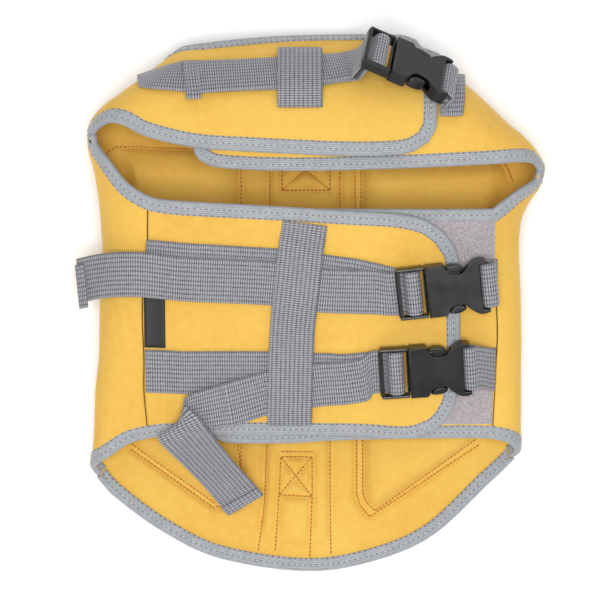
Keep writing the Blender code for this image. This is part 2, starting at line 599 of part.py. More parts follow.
def back_panel():
    """The padded back: one wall from neck to tail, rolled up at both sides to the wings."""
    low = centred(TAIL_EDGE)
    for k, side in ((0, -1), (-1, 1)):
        low[k] = seam_place(low[k][1], side, -SEAM_UNDER)
    starts = (side_run(low[0][1], NECK_BACK_Y, -1, -1), side_run(low[-1][1], NECK_BACK_Y, 1, -1))
    high = curve([starts[0](1), (0.0, NECK_BACK_Y - NECK_DIP), starts[1](1)])
    bottom = patch(curve(low), high, *starts, BACK_ROWS, BACK_COLS)
    for end in ("low", "high"):
        draw_in(bottom, rim(BACK_ROWS, BACK_COLS, end), CLOTH_INSET)
    laid = []
    for i, line in enumerate(bottom):
        made = []
        for b, y in line:
            point, normal = surface(y, -b - half_girth(y) / 2)
            if i in (0, 1, BACK_ROWS - 1, BACK_ROWS):
                point = point - normal * EDGE_LIFT
            x, half, depth = SPINE_GROOVE
            if abs(point.x - x) < half and BACK_STRAP_Y[0] - 6 < point.y < BACK_STRAP_Y[1] + 8:
                point.z += depth if point.z < depth else 0
            made.append((point, normal))
        laid.append(made)
    points = [p for line in laid for p, _ in line]
    bound = [p for p, _ in laid[0] + laid[-1]]
    for line in laid:
        for point, _ in (line[0], line[-1]):
            bound += [point] if point.y > min(CHEST_SEAM_Y.values()) else []
    faces = [f[::-1] for f in grid_faces(BACK_ROWS, BACK_COLS)]
    rolls = {}
    for side, column in ((-1, 0), (1, BACK_COLS)):
        tail, leg, seam = SIDE_ROLLS[side]
        ys = [line[column][1] for line in bottom]
        top = min(range(len(ys)), key=lambda i: abs(ys[i] - CHEST_SEAM_Y[side]))
        low_y, high_y = ys[0], ys[top]
        share = ROLL_SEAM_COLS / ROLL_COLS
        under = side * SEAM_UNDER
        seam_part = curve([(under, high_y), centred(leg[:1], side)[0]])
        edges = (curve([(under, low_y)] + centred(tail, side)),
                 joined(seam_part, curve(centred(leg, side)), share),
                 lambda t, at=ys[:top + 1], under=under: np.array(
                     (under, np.interp(t * (len(at) - 1), range(len(at)), at))),
                 curve(centred(seam, side)))
        grid = patch(*edges, top, ROLL_COLS)
        held = [line[0].copy() for line in grid]
        draw_in(grid, rim(top, ROLL_COLS, "low"), CLOTH_INSET)
        draw_in(grid, rim(top, ROLL_COLS, "high")[:-ROLL_SEAM_COLS], CLOTH_INSET)
        for i, place in enumerate(held):
            grid[i][0] = place
        roll = lay(grid, no_lift, side)
        for i in range(top + 1):
            roll[i][0] = laid[i][column]
        bound += [p for p, _ in roll[0] + roll[top][ROLL_SEAM_COLS:]]
        bound += [line[-1][0] for line in roll]
        base = len(points)
        indices = [[i * (BACK_COLS + 1) + column] + [base + i * ROLL_COLS + j
                                                     for j in range(ROLL_COLS)]
                   for i in range(top + 1)]
        for i in range(top + 1):
            for j in range(1, ROLL_COLS + 1):
                points.append(roll[i][j][0])

        def index(i, j, _cols, base=base, column=column):
            return i * (BACK_COLS + 1) + column if j == 0 else base + i * ROLL_COLS + j - 1

        quads = grid_faces(top, ROLL_COLS, index)
        faces += quads if side == -1 else [f[::-1] for f in quads]
        rolls[side] = (indices, high_y)
    made = mesh_object("back_panel", points, faces, "neoprene")
    walls = [back_wall(p, bound) for p in points]
    thickest = max(walls)
    group = made.vertex_groups.new(name="wall")
    for k, wall in enumerate(walls):
        group.add([k], wall / thickest, "REPLACE")
    modifier = solidify(made, thickest, -1)
    modifier.use_even_offset = False
    modifier.vertex_group = "wall"
    bottom = [[i * (BACK_COLS + 1) + j for j in range(BACK_COLS + 1)] for i in range(BACK_ROWS + 1)]
    rolls = {side: (read_grid(made, points, grid, walls), y) for side, (grid, y) in rolls.items()}
    return read_grid(made, points, bottom, walls), rolls


def plan(outline):
    """An outline's edges with its plan places measured over the tube."""
    return {key: centred(points) for key, points in outline.items()}


def cloth():
    """The back panel, the four wings and the tape round their edges."""
    back, rolls = back_panel()
    left_roll, left_turn = rolls[-1]
    right_roll, right_turn = rolls[1]

    left_belly = wing("wing_belly_left", plan(LEFT_BELLY), belly_seam(-1),
                      left_belly_lift, BELLY_GRID)
    right_outline = {"low": centred(RIGHT_BELLY["low"])[::-1],
                     "high": centred(RIGHT_BELLY["high"])[::-1],
                     "end": centred(RIGHT_BELLY["end"])}
    right_belly = wing("wing_belly_right", right_outline, belly_seam(1),
                       no_lift, BELLY_GRID)

    left_outline, right_outline = plan(LEFT_CHEST), plan(RIGHT_CHEST)
    left_outline["high"].insert(0, seam_place(NECK_BACK_Y + 1, -1))
    right_outline["high"].append(seam_place(NECK_BACK_Y, 1))
    right_outline = {"low": right_outline["low"][::-1], "high": right_outline["high"][::-1],
                     "end": right_outline["end"]}
    chest = {}
    for name, side, outline, turn_y, lift in (
            ("wing_chest_left", -1, left_outline, left_turn, left_chest_lift),
            ("wing_chest_right", 1, right_outline, right_turn, no_lift)):
        chest[side] = wing(name, outline, side_run(turn_y, outline["high"][0][1], side), lift,
                           CHEST_GRID, ROLL_SEAM_COLS)

    hole = {-1: border(left_roll, "high", ROLL_SEAM_COLS),
            1: border(right_roll, "high", ROLL_SEAM_COLS)}
    tail = {-1: border(left_roll, "low"), 1: border(right_roll, "low")}
    for side, name, belly in ((-1, "left", left_belly), (1, "right", right_belly)):
        edge = wing_border(belly)
        binding("binding_belly_" + name, hole[side] + edge + tail[side][::-1])
        binding("binding_chest_" + name, wing_border(chest[side], ROLL_SEAM_COLS))
    binding("binding_tail", border(back, "low"))
    binding("binding_neck", border(back, "high"))


# ---- webbing -------------------------------------------------------------------------------

def wing_face(x, y, lift):
    """A point over the outermost wing at a plan place, and the normal there."""
    c = over(x, y) - half_girth(y) / 2
    rise = left_belly_lift(c, y) if y < CHEST_FROM_Y else left_chest_lift(c, y)
    return surface(y, over(x, y), rise + lift)


def band(middles, normals, lifts=None):
    """Rails of a webbing band: its edges and middle, the edges bent down onto the cloth by lifts."""
    rails = []
    for k, (middle, normal) in enumerate(zip(middles, normals)):
        ahead, behind = middles[min(k + 1, len(middles) - 1)], middles[max(k - 1, 0)]
        across = normal.cross(ahead - behind).normalized() * WEB_WIDTH / 2
        pair = [middle - across, middle + across]
        if lifts:
            for m in (0, 1):
                for _ in range(4):
                    flat = pair[m] - normal * lifts[k]
                    if left_fold(flat.y) + 3 < flat.x < right_fold(flat.y) - 3:
                        face, _ = wing_face(flat.x, flat.y, lifts[k])
                        pair[m] = pair[m] + normal * (face - pair[m]).dot(normal)
        rails.append((pair[0], middle, pair[1]))
    return rails


def laid_band(table, count):
    """Rails of a band that lies on the wings, along plan places with their lifts."""
    along = curve(table)
    rows = [along(k / count) for k in range(count + 1)]
    ends = [wing_face(x, y, lift) for x, y, lift in rows]
    return band([p for p, _ in ends], [n for _, n in ends], [row[2] for row in rows])


def at_lift(places, lift):
    return [(x, y, lift) for x, y in places]


def buckle_frame(name):
    """A matrix with x from the ladder to the body and z off the cloth, at the ladder's end."""
    _, place, heading, roll = BUCKLES[name]
    turn, lean = math.radians(heading), Matrix.Rotation(math.radians(roll), 4, "X")
    if name == "chest":
        climb, height = CHEST_BUCKLE
        tilt = Matrix.Rotation(turn, 4, "Z") @ Matrix.Rotation(math.radians(-climb), 4, "Y")
        return Matrix.Translation((*place, height)) @ tilt @ lean
    point, normal = wing_face(*place, BUCKLE_LIFT)
    along = Vector((math.cos(turn), math.sin(turn), 0))
    along = (along - along.dot(normal) * normal).normalized()
    across = normal.cross(along)
    level = Matrix((along, across, normal)).transposed().to_4x4()
    return Matrix.Translation(point) @ level @ lean


def through_ladder(frame):
    """Rails of a strap up through a ladder's inner slot, over its bar and back out."""
    half = WEB_WIDTH / 2
    return [tuple(frame @ Vector((x, y, z)) for y in (-half, 0, half)) for x, z in LADDER_RUN]


def straps(frames):
    """Each adjustable strap: from its seam through its ladder and back on itself."""
    def back(rails):
        return [line[::-1] for line in rails]

    base = laid_band(at_lift(UPPER_BASE, BASE_LIFT), UPPER_ROWS[0])
    tail = laid_band(at_lift(UPPER_TAIL, TAIL_LIFT), UPPER_ROWS[1])
    end = band([Vector(row[:3]) for row in UPPER_END],
               [Vector((row[3], 0, 1)).normalized() for row in UPPER_END])
    strip("strap_upper", base + through_ladder(frames["upper"]) + back(tail + end), WEB_WALL,
          "webbing")

    base = laid_band(at_lift(LOWER_BASE, BASE_LIFT), LOWER_ROWS[0])
    tail = laid_band(at_lift(LOWER_TAIL, TAIL_LIFT), LOWER_ROWS[1])
    upper, lower = curve([row[:3] for row in LOWER_END]), curve([row[3:] for row in LOWER_END])
    shares = [k / FOLD_ROWS for k in range(FOLD_ROWS + 1)]
    pairs = [(Vector(lower(t)), Vector(upper(t))) for t in shares]
    end = [(low, (low + high) / 2, high) for low, high in pairs]
    strip("strap_lower", base + through_ladder(frames["lower"]) + back(tail) + end, WEB_WALL,
          "webbing")

    base = laid_band(at_lift(CHEST_BASE, BASE_LIFT + CHEST_EASE), CHEST_ROWS[0])
    tail = laid_band(at_lift(CHEST_TAIL, TAIL_LIFT + CHEST_EASE), CHEST_ROWS[1])
    strip("strap_chest", base + through_ladder(frames["chest"]) + back(tail), WEB_WALL,
          "webbing")


def keepers():
    """The upright strap that holds both belly straps down, and the chest strap's keeper."""
    belly, chest = KEEPER_ROWS
    for name, table, count in (("keeper_belly", KEEPER, belly),
                               ("keeper_chest", CHEST_KEEPER, chest)):
        strip(name, laid_band(table, count), WEB_WALL, "webbing")


def anchors(frames):
    """Short straps sewn by the right fold and looped round the bar of each buckle's body."""
    half = WEB_WIDTH / 2
    for name, frame in frames.items():
        x, y = BUCKLES[name][0]
        sewn, normal = surface(y, over(x, y), BASE_LIFT)
        loop = [frame @ Vector((u, 0, w)) for u, w in ANCHOR_LOOP]
        rise, inward = ANCHOR_START
        run = [sewn, sewn + normal * rise - Vector((inward, 0, 0))] + loop
        along = curve([tuple(p) for p in run])
        across = frame.to_3x3() @ Vector((0, 1, 0))
        flat = normal.cross(Vector((1, 0, 0))).normalized()
        rails = []
        for k in range(ANCHOR_ROWS + 1):
            middle = Vector(along(k / ANCHOR_ROWS))
            turn = ramp(k, 0, ANCHOR_TURN)
            side = (across * turn + flat * (1 - turn)).normalized() * half
            rails.append((middle - side, middle, middle + side))
        strip("anchor_" + name, rails, WEB_WALL, "webbing")


def back_strap():
    """The handle webbing along the spine, flush with the underside."""
    x, z = SPINE_GROOVE[0], WEB_WALL / 2
    strip("strap_back", [(Vector((x - WEB_WIDTH / 2, y, z)), Vector((x + WEB_WIDTH / 2, y, z)))
                         for y in BACK_STRAP_Y], WEB_WALL, "webbing")


def flat_piece(name, x_range, y_range, lift, wall, finish, size):
    """A thin piece sewn on a wing over a rectangle of plan places; lift(x, y) is its face's."""
    rows, cols = size
    points = []
    for i in range(rows + 1):
        y = y_range[0] + (y_range[1] - y_range[0]) * i / rows
        for j in range(cols + 1):
            x = x_range[0] + (x_range[1] - x_range[0]) * j / cols
            points.append(surface(y, over(x, y), lift(x, y))[0])
    solidify(mesh_object(name, points, grid_faces(rows, cols), finish), wall, -1)


def patches_and_label():
    """Loop tape on the right wing, and a bare woven label in the left seam."""
    for name, low, high in PATCHES:
        flat_piece("loop_patch_" + name, PATCH_X, (low, high), lambda x, y: GAP + PATCH_WALL,
                   PATCH_WALL, "loop", PATCH_GRID)
    x0, x1, y0, y1 = LABEL_PLACE
    flat_piece("label", (x0, x1), (y0, y1),
               lambda x, y: left_belly_lift(over(x, y) - half_girth(y) / 2, y) + 2 * GAP + LABEL_WALL,
               LABEL_WALL, "label", LABEL_GRID)


# ---- buckles -------------------------------------------------------------------------------

def box(name, sides, group):
    """A box from its x, y and z ranges, as a cube primitive."""
    mesh = bpy.data.meshes.new(name)
    form = bmesh.new()
    bmesh.ops.create_cube(form, size=1.0)
    for vertex in form.verts:
        vertex.co = Vector([(low + high) / 2 + at * (high - low)
                            for at, (low, high) in zip(vertex.co, sides)]) * MM
    form.to_mesh(mesh)
    form.free()
    made = bpy.data.objects.new(name, mesh)
    group.objects.link(made)
    return made


def moon(name, x, y, radius):
    """A round cutter for a half-moon window."""
    mesh = bpy.data.meshes.new(name)
    form = bmesh.new()
    bmesh.ops.create_cone(form, cap_ends=True, segments=20, radius1=radius * MM,
                          radius2=radius * MM, depth=30 * MM)
    bmesh.ops.translate(form, verts=form.verts, vec=Vector((x, y, BUCKLE_MIDDLE)) * MM)
    form.to_mesh(mesh)
    form.free()
    made = bpy.data.objects.new(name, mesh)
    CUTTERS.objects.link(made)
    return made


def soften(made, width):
    modifier = made.modifiers.new("edges", "BEVEL")
    modifier.width = width * MM
    modifier.segments = 2
    modifier.limit_method = "ANGLE"


def combine(made, tool, operation, frame):
    """Adds or cuts a hidden shape that lies in the same buckle's frame."""
    tool.matrix_world = frame
    tool.hide_render = True
    tool.display_type = "WIRE"
    modifier = made.modifiers.new(tool.name, "BOOLEAN")
    modifier.object = tool
    modifier.operation = operation
    modifier.solver = "EXACT"


def buckle(name, frame):
    """A side-release buckle: the ladder with its prongs, and the body that they lock into."""
    shift = Matrix.Translation((-ORIGIN[0], -ORIGIN[1], 0)) @ frame
    place = Matrix.Translation(shift.translation * MM) @ shift.to_3x3().to_4x4()

    male = box("buckle_%s_male" % name, LADDER, PARTS)
    soften(male, LADDER_EDGE)
    for k, slot in enumerate(LADDER_SLOTS + (BAR_TOP,)):
        combine(male, box("%s_slot_%d" % (name, k), slot, CUTTERS), "DIFFERENCE", place)
    for k, piece in enumerate(PRONGS + LADDER_RAILS):
        combine(male, box("%s_prong_%d" % (name, k), piece, CUTTERS), "UNION", place)

    female = box("buckle_%s_female" % name, BODY, PARTS)
    soften(female, BODY_EDGE)
    combine(female, box("%s_mouth" % name, BODY_MOUTH, CUTTERS), "DIFFERENCE", place)
    combine(female, box("%s_end" % name, BODY_END, CUTTERS), "DIFFERENCE", place)
    combine(female, box("%s_bar" % name, BODY_BAR, CUTTERS), "UNION", place)
    x, y, radius = WINDOW
    for side in (-1, 1):
        cutter = moon("%s_window_%d" % (name, side), x, side * y, radius)
        combine(female, cutter, "DIFFERENCE", place)
    for made in (male, female):
        made.data.materials.append(material("acetal"))
        made.matrix_world = place


for old in list(bpy.data.objects):
    bpy.data.objects.remove(old)
PARTS = collection("dog_life_jacket")
CUTTERS = collection("cutters")

cloth()
patches_and_label()
buckle_frames = {name: buckle_frame(name) for name in BUCKLES}
straps(buckle_frames)
keepers()
anchors(buckle_frames)
back_strap()
for buckle_name, place in buckle_frames.items():
    buckle(buckle_name, place)
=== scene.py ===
"""A dog's life jacket of foam-backed cloth, closed and lying on its back, belly side up.

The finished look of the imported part: knitted edge binding with two rows of stitching, woven
webbing, moulded buckles and a quilted foam back. Lengths are in millimetres in the jacket's own
frame, +Y to the neck and +Z up, until a mesh is made of them.
"""
import math

import bmesh
import bpy
import numpy as np
from mathutils import Matrix, Vector


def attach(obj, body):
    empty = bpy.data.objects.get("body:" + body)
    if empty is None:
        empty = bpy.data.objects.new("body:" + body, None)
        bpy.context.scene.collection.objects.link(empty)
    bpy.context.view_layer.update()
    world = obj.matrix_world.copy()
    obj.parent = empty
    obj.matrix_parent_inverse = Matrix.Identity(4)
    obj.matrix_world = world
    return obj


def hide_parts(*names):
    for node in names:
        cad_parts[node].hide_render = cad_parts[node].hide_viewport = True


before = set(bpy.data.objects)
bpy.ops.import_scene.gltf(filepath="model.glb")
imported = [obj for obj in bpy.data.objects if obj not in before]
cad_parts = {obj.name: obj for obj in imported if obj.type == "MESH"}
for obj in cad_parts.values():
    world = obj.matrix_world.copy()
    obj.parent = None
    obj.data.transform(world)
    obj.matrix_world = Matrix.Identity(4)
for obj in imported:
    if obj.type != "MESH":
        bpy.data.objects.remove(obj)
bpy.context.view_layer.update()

MM = 0.001
ORIGIN = (5.99, -1.92)      # plan place of the middle of the whole jacket

WALL = 2.4                 # foam-backed cloth of the wings, and every bound edge
LAYER = 4.6                # rise from an under wing to the wing that closes over it
SIDE_WALL = 3.6            # back panel where it rolls up at the sides
SEAM_UNDER = 8.0           # the chest wings' side seams lie this far under the folds

TAPE_WALL = 0.65           # edge binding
TAPE_CLEAR = 0.12          # between the binding and the cloth
TAPE_REACH = 6.2           # how far it covers the cloth on each face
TAPE_NOSE = 1.5            # how far its fold stands beyond the cloth's edge

WEB_WIDTH = 25.0           # webbing
WEB_WALL = 1.45
BASE_LIFT = 1.0            # middle of a strap above the cloth, first and second layer
TAIL_LIFT = 2.75
GAP = 0.12                 # under the back strap
PATCH_WALL = 0.8
LABEL_WALL = 0.45
CHEST_EASE = 0.7           # the chest strap spans the curve of the neck, so it stands higher
HEMS = {                   # folded strap ends: length, aside and above the strap
    "upper": (6.0, -3.6, 1.55), "lower": (5.6, 0.0, -1.55), "chest": (8.0, -4.2, 1.0),
}
CHEST_SLANT = -4.3         # of the chest strap's sewn end: each edge from square
SLANT_FADE = 14.0          # a slanted cut's reach along its strap
CHEST_TUCK = (19.5, 0.13, 0.27)   # its run, and the share of its width turned in at each edge
CHEST_END = ((77.6, 89.4), (100.7, 111.4, 122.0))   # the chest anchor's flat end: x, y
CHEST_SEWN = (84.5, 2.4)   # where the rest of it is sewn on: x, and its lift over a strap's
ANCHOR_START = ((1.6, 1.5), (0.8, 5.0))    # rise and run of a belly and a chest anchor's bend
ANCHOR_ROWS = (30, 10)     # of an anchor, and those over which it turns to its buckle

TAPE_STEP = 1.1            # spacing of the binding's rows of points
TAPE_END = TAPE_NOSE + TAPE_REACH
TAPE_FOLD = 1.35           # the inside of its fold, from its outside
TAPE_THIN = (0.35, 0.5)    # its edges thin by this much over this reach
TAPE_SHORT = 0.1           # each length stops this far before the end of its edge
HEADING_SPAN = 4           # rows on each side over which its heading is evened
FLOOR_CLEAR = 0.06         # under a binding that lies on the ground
TAPE_STEPS = (0.0, 0.2, 0.6, TAPE_FOLD, 1.9, 2.6, 3.0, 3.6, 4.2, 4.6, 5.4, 6.2, 6.7, 7.2, 7.55,
              TAPE_END)
STITCH_ROWS = (7.2, 3.6)   # from the binding's fold
STITCH_PRESS = ((0.3, 0.7, 0.25), (0.34, 0.75, 0.3))   # each row's depth, reach and ripple
STITCH_PITCH = 3.3
HOLE_SUNK, THREAD_PROUD = 0.02, 0.05
QUILT_PITCH = 2.3
CLOTH_INSET = 1.9          # of the cloth's edge, in from the binding's fold
SPINE_WALL = 5.0           # back panel between the pockets
POCKET_WALL = 11.5         # foam pockets of the back panel
POCKET_RISE = (-0.5, 15.0, 0.6)   # from and to this far inside its outline, and how round
QUILT_PUFF = (0.9, 0.5, 6.0)      # of the foam beside a seam: height, from and to
QUILT_GROOVE = (2.2, 1.6)         # depth and reach of a seam
ROLL_RISE = (1.5, 6.0)            # the back panel turns into a roll between these heights
NECK_DIP = 2.0             # the middle of the back's neck edge lies this much lower
BACK_LENGTH = 290.0
EDGE_DOWN = (6.5, 11.0)    # a bound edge lies back on the ground between these from it
GROOVE_END = (0.6, 8.0)    # the spine groove runs out between these beyond its strap

BACK_ROWS, BACK_COLS, ROLL_COLS = 200, 176, 30
BELLY_GRID, CHEST_GRID = (36, 48), (24, 52)
ROLL_SEAM_SHARE, CHEST_SEAM_SHARE = 2 / 7, 1 / 9   # of an edge that is sewn on
ROLL_CLOSE, WING_CLOSE = (0.012, 0.004), (0.004, 0.011, 0.02)   # close columns by a seam
BACK_FOLLOW, ROLL_FOLLOW = 6, 9       # rows that follow an edge that is drawn in
# Rows or columns from each end over which the cloth's unevenness sets in
ROLL_CALM, WING_CALM = ((1, 6), (2, 6)), ((3, 9), (-1, 2))
LINE_STEPS = 240           # pieces in which an edge is measured
BELLY_RISE = (-86.0, -60.0)   # the left belly wing rises over the right one between these
CHEST_RISE_X = -62.5       # the left chest wing has risen over the right one by here
CHEST_FROM_Y = 65.0        # the belly wings lie below this, the chest wings above it
PATCH_LIFT, LABEL_LIFT = 0.08, 0.1

# Outlines of the foam pockets and the lines of quilting, plan places
POCKETS = (
    [(-36.0, 85.0), (-35.0, -110.0), (-38.0, -117.0), (-48.0, -118.5), (-97.0, -83.5),
     (-111.0, -70.0), (-112.0, 78.0), (-106.0, 86.0), (-62.0, 86.5)],
    [(34.0, 82.0), (35.5, -113.0), (39.0, -120.0), (46.0, -122.0), (103.0, -81.0),
     (117.0, -66.0), (121.5, -40.0), (122.0, 68.0), (119.0, 76.0), (112.0, 83.0)],
)
QUILTING = (
    ((-112.8, 79.0), (-110.0, 84.5), (-105.9, 87.6), (-95.0, 88.2), (-63.0, 86.7), (-34.0, 85.4)),
    ((33.0, 85.0), (110.0, 84.0), (114.5, 81.0), (119.0, 76.0), (122.0, 68.0)),
    ((-33.8, 85.0), (-33.8, -100.0)),
    ((-17.2, 90.0), (-17.2, -60.0), (-18.9, -81.3), (-20.3, -117.0), (-24.0, -144.3)),
    ((22.9, 90.0), (22.9, -60.0), (17.2, -80.0), (17.2, -115.0), (17.8, -146.0)),
    ((31.5, 88.0), (32.6, -80.0), (32.6, -111.7), (34.5, -118.0), (40.0, -124.5)),
    ((34.9, 88.0), (36.0, -80.0), (36.0, -110.5), (38.0, -116.0), (43.0, -121.0)),
    ((40.0, -124.5), (103.0, -83.0)), ((43.0, -121.0), (101.0, -80.0)),
    ((-97.3, -85.5), (-48.7, -120.0)), ((-97.3, -82.3), (-48.7, -116.8)),
    ((-36.0, -78.0), (-33.0, -112.0), (-36.0, -118.0), (-48.7, -118.5)),
    ((-10.9, -87.0), (8.0, -87.0)), ((-10.9, -90.0), (6.9, -90.0)),
    ((-10.9, -90.0), (-12.0, -111.7)), ((6.9, -90.0), (6.9, -112.8)),
    ((-12.0, -111.7), (6.9, -112.8)), ((-10.9, -90.0), (6.9, -112.8)),
    ((-12.0, -111.7), (6.9, -90.0)),
    ((-12.0, -111.7), (-14.3, -144.3)), ((6.9, -112.8), (5.7, -148.0)),
    ((-10.3, 86.0), (-10.3, 63.0)), ((17.2, 86.0), (17.2, 63.0)), ((-10.3, 63.0), (17.2, 63.0)),
    ((-10.3, 63.0), (17.2, 86.0)), ((-10.3, 86.0), (17.2, 63.0)),
)

LAY_PASSES, LAY_CLEAR = 4, 3.0     # a strap's edges are laid on the cloth this far from a fold
WEB_STEP = 1.2             # spacing of a strap's rows of points
WEB_PROFILE = (            # a strap's cross section, once round: across and height
    (-12.5, 0.0), (-12.35, 0.45), (-11.9, 0.68), (-10.8, 0.72), (-6.0, 0.72), (0.0, 0.72),
    (6.0, 0.72), (10.8, 0.72), (11.9, 0.68), (12.35, 0.45), (12.5, 0.0), (12.35, -0.45),
    (11.9, -0.68), (10.8, -0.72), (6.0, -0.72), (0.0, -0.72), (-6.0, -0.72), (-10.8, -0.72),
    (-11.9, -0.68), (-12.35, -0.45),
)

CAMERA_HEIGHT = 1.5        # metres
FRAME_WIDTH = 0.3454       # seen at the ground

# The flattened tube, tail to neck: y, left fold x, right fold x, height
STATIONS = (
    (-170.0, -119.5, 126.0, 21.0),
    (-98.0, -119.5, 126.0, 22.0),
    (-86.0, -118.2, 125.6, 24.0),
    (-73.7, -117.4, 125.9, 26.0),
    (-53.8, -116.6, 126.0, 31.0),
    (-28.3, -114.0, 126.0, 37.0),
    (0.0, -113.5, 124.8, 43.0),
    (28.2, -112.0, 123.8, 49.0),
    (43.4, -112.8, 125.0, 52.0),
    (53.6, -113.4, 129.0, 54.0),
    (66.5, -115.0, 137.0, 56.0),
    (74.0, -116.4, 138.3, 57.5),
    (84.6, -119.4, 133.0, 58.5),
    (92.5, -120.2, 125.8, 58.5),
    (99.4, -118.6, 117.4, 58.0),
    (107.9, -112.5, 109.0, 56.5),
    (116.0, -101.7, 100.6, 53.0),
    (123.0, -91.6, 93.0, 47.0),
    (130.7, -81.0, 86.5, 39.0),
    (138.0, -70.7, 81.5, 29.0),
    (144.0, -62.0, 79.0, 20.0),
    (148.0, -56.0, 78.0, 14.0),
    (156.0, -50.0, 77.0, 9.0),
)

# Plan places (x, y) along each edge of the cloth, out to the fold of its binding
TAIL_EDGE = (
    (-116.7, -102.0), (-106.3, -113.4), (-78.9, -133.2), (-45.9, -148.6), (4.4, -155.9),
    (43.9, -149.6), (76.9, -134.9), (109.6, -104.5), (123.0, -91.5),
)
LEFT_ROLL_TAIL = ((-119.4, -95.5), (-111.9, -91.2), (-97.0, -81.8), (-86.3, -78.7))
LEFT_ROLL_LEG = (
    (-115.8, 92.5), (-114.8, 87.6), (-110.6, 81.6), (-99.5, 68.4), (-92.3, 62.3), (-84.7, 58.0),
)
RIGHT_ROLL_TAIL = ((125.5, -86.5), (121.0, -82.6), (116.0, -80.4), (108.9, -78.8))
RIGHT_ROLL_LEG = (
    (134.4, 72.0), (132.8, 67.6), (128.6, 64.3), (123.0, 61.0), (116.0, 56.4), (107.3, 50.5),
)
LEFT_SEAM = ((-86.3, -78.7), (-88.0, -25.0), (-87.3, 10.0), (-84.7, 58.0))
RIGHT_SEAM = ((108.9, -78.8), (110.2, -40.0), (110.0, 0.0), (107.3, 50.5))
SIDE_ROLLS = {-1: (LEFT_ROLL_TAIL, LEFT_ROLL_LEG, LEFT_SEAM),
              1: (RIGHT_ROLL_TAIL, RIGHT_ROLL_LEG, RIGHT_SEAM)}
LEFT_BELLY = {
    "low": ((-86.3, -78.7), (-70.0, -76.4), (-33.8, -75.3), (29.3, -76.1), (60.0, -77.6),
            (75.7, -72.5), (82.5, -66.5)),
    "high": ((-84.7, 58.0), (-76.9, 56.1), (-55.3, 54.8), (-12.7, 52.6), (27.7, 50.1),
             (54.0, 48.5), (70.0, 44.8), (80.5, 37.8)),
    "end": ((82.5, -66.5), (87.6, -56.0), (89.0, -40.0), (89.5, -15.0), (89.0, 10.0),
            (87.6, 26.0), (80.5, 37.8)),
}
RIGHT_BELLY = {
    "low": ((-51.5, -74.5), (-41.9, -80.8), (-5.7, -81.3), (23.8, -79.6), (88.9, -78.4),
            (108.9, -78.8)),
    "high": ((-51.5, 44.0), (-42.0, 50.0), (-5.0, 50.6), (50.0, 50.4), (83.5, 50.4),
             (107.3, 50.5)),
    "end": ((-51.5, -74.5), (-55.5, -62.0), (-56.0, -20.0), (-56.0, 32.0), (-51.5, 44.0)),
}
LEFT_CHEST = {
    "low": ((-115.8, 92.5), (-111.0, 96.4), (-105.0, 98.0), (-97.0, 96.2), (-84.4, 90.0),
            (-59.0, 84.3), (-28.7, 82.1), (27.6, 79.7), (58.0, 81.0), (70.9, 87.0)),
    "high": ((-61.5, 140.2), (-38.6, 143.7), (-5.7, 146.4), (30.0, 147.6), (56.0, 147.0),
             (66.5, 143.5)),
    "end": ((70.9, 87.0), (75.6, 97.0), (76.0, 110.0), (73.6, 130.0), (66.5, 143.5)),
}
RIGHT_CHEST = {
    "low": ((-58.8, 82.0), (-56.6, 78.4), (-52.6, 75.6), (-46.6, 73.4), (-30.0, 71.9), (2.8, 71.3),
            (49.8, 72.4), (104.3, 74.9), (121.0, 76.4), (131.0, 76.4), (134.4, 72.0)),
    "high": ((-46.0, 141.0), (-34.0, 143.0), (10.0, 145.5), (50.0, 145.5), (65.0, 144.3),
             (75.0, 141.4)),
    "end": ((-58.8, 82.0), (-60.6, 92.0), (-58.5, 110.0), (-51.5, 130.0), (-46.0, 141.0)),
}
NECK_BACK_Y = 133.0
CHEST_SEAM_Y = {-1: 92.5, 1: 72.0}   # where the side seams leave the leg openings
SEAM_GAP = 0.28
EDGE_FLAT = (11.0, 26.0)             # the back panel thickens between these from its edges

SPINE_GROOVE = (0.0, 24.0, WEB_WALL + GAP)   # x, half width, depth: it takes the back strap
BACK_STRAP_Y = (-134.0, 66.0)

# Straps on the belly: plan places of the middle of each, from its seam to its buckle and back
UPPER_BASE = ((-86.0, 21.6), (-12.7, 17.4), (13.8, 14.1), (31.6, 11.6))
UPPER_TAIL = ((42.1, 5.8), (11.6, 6.9), (-13.8, 10.5), (-71.0, 13.3))
UPPER_END = (              # the middle of its free end and how far its face leans left
    (-88.0, 14.0, 54.5, -0.05), (-101.3, 14.1, 51.0, -0.35), (-112.5, 13.1, 44.5, -0.6),
    (-124.2, 10.9, 34.5, -0.8),
)
LOWER_BASE = ((-86.8, -39.8), (-17.9, -39.6), (7.8, -40.6), (27.0, -41.0))
LOWER_TAIL = ((36.0, -43.0), (26.2, -44.8), (7.8, -46.3), (-19.0, -50.6))
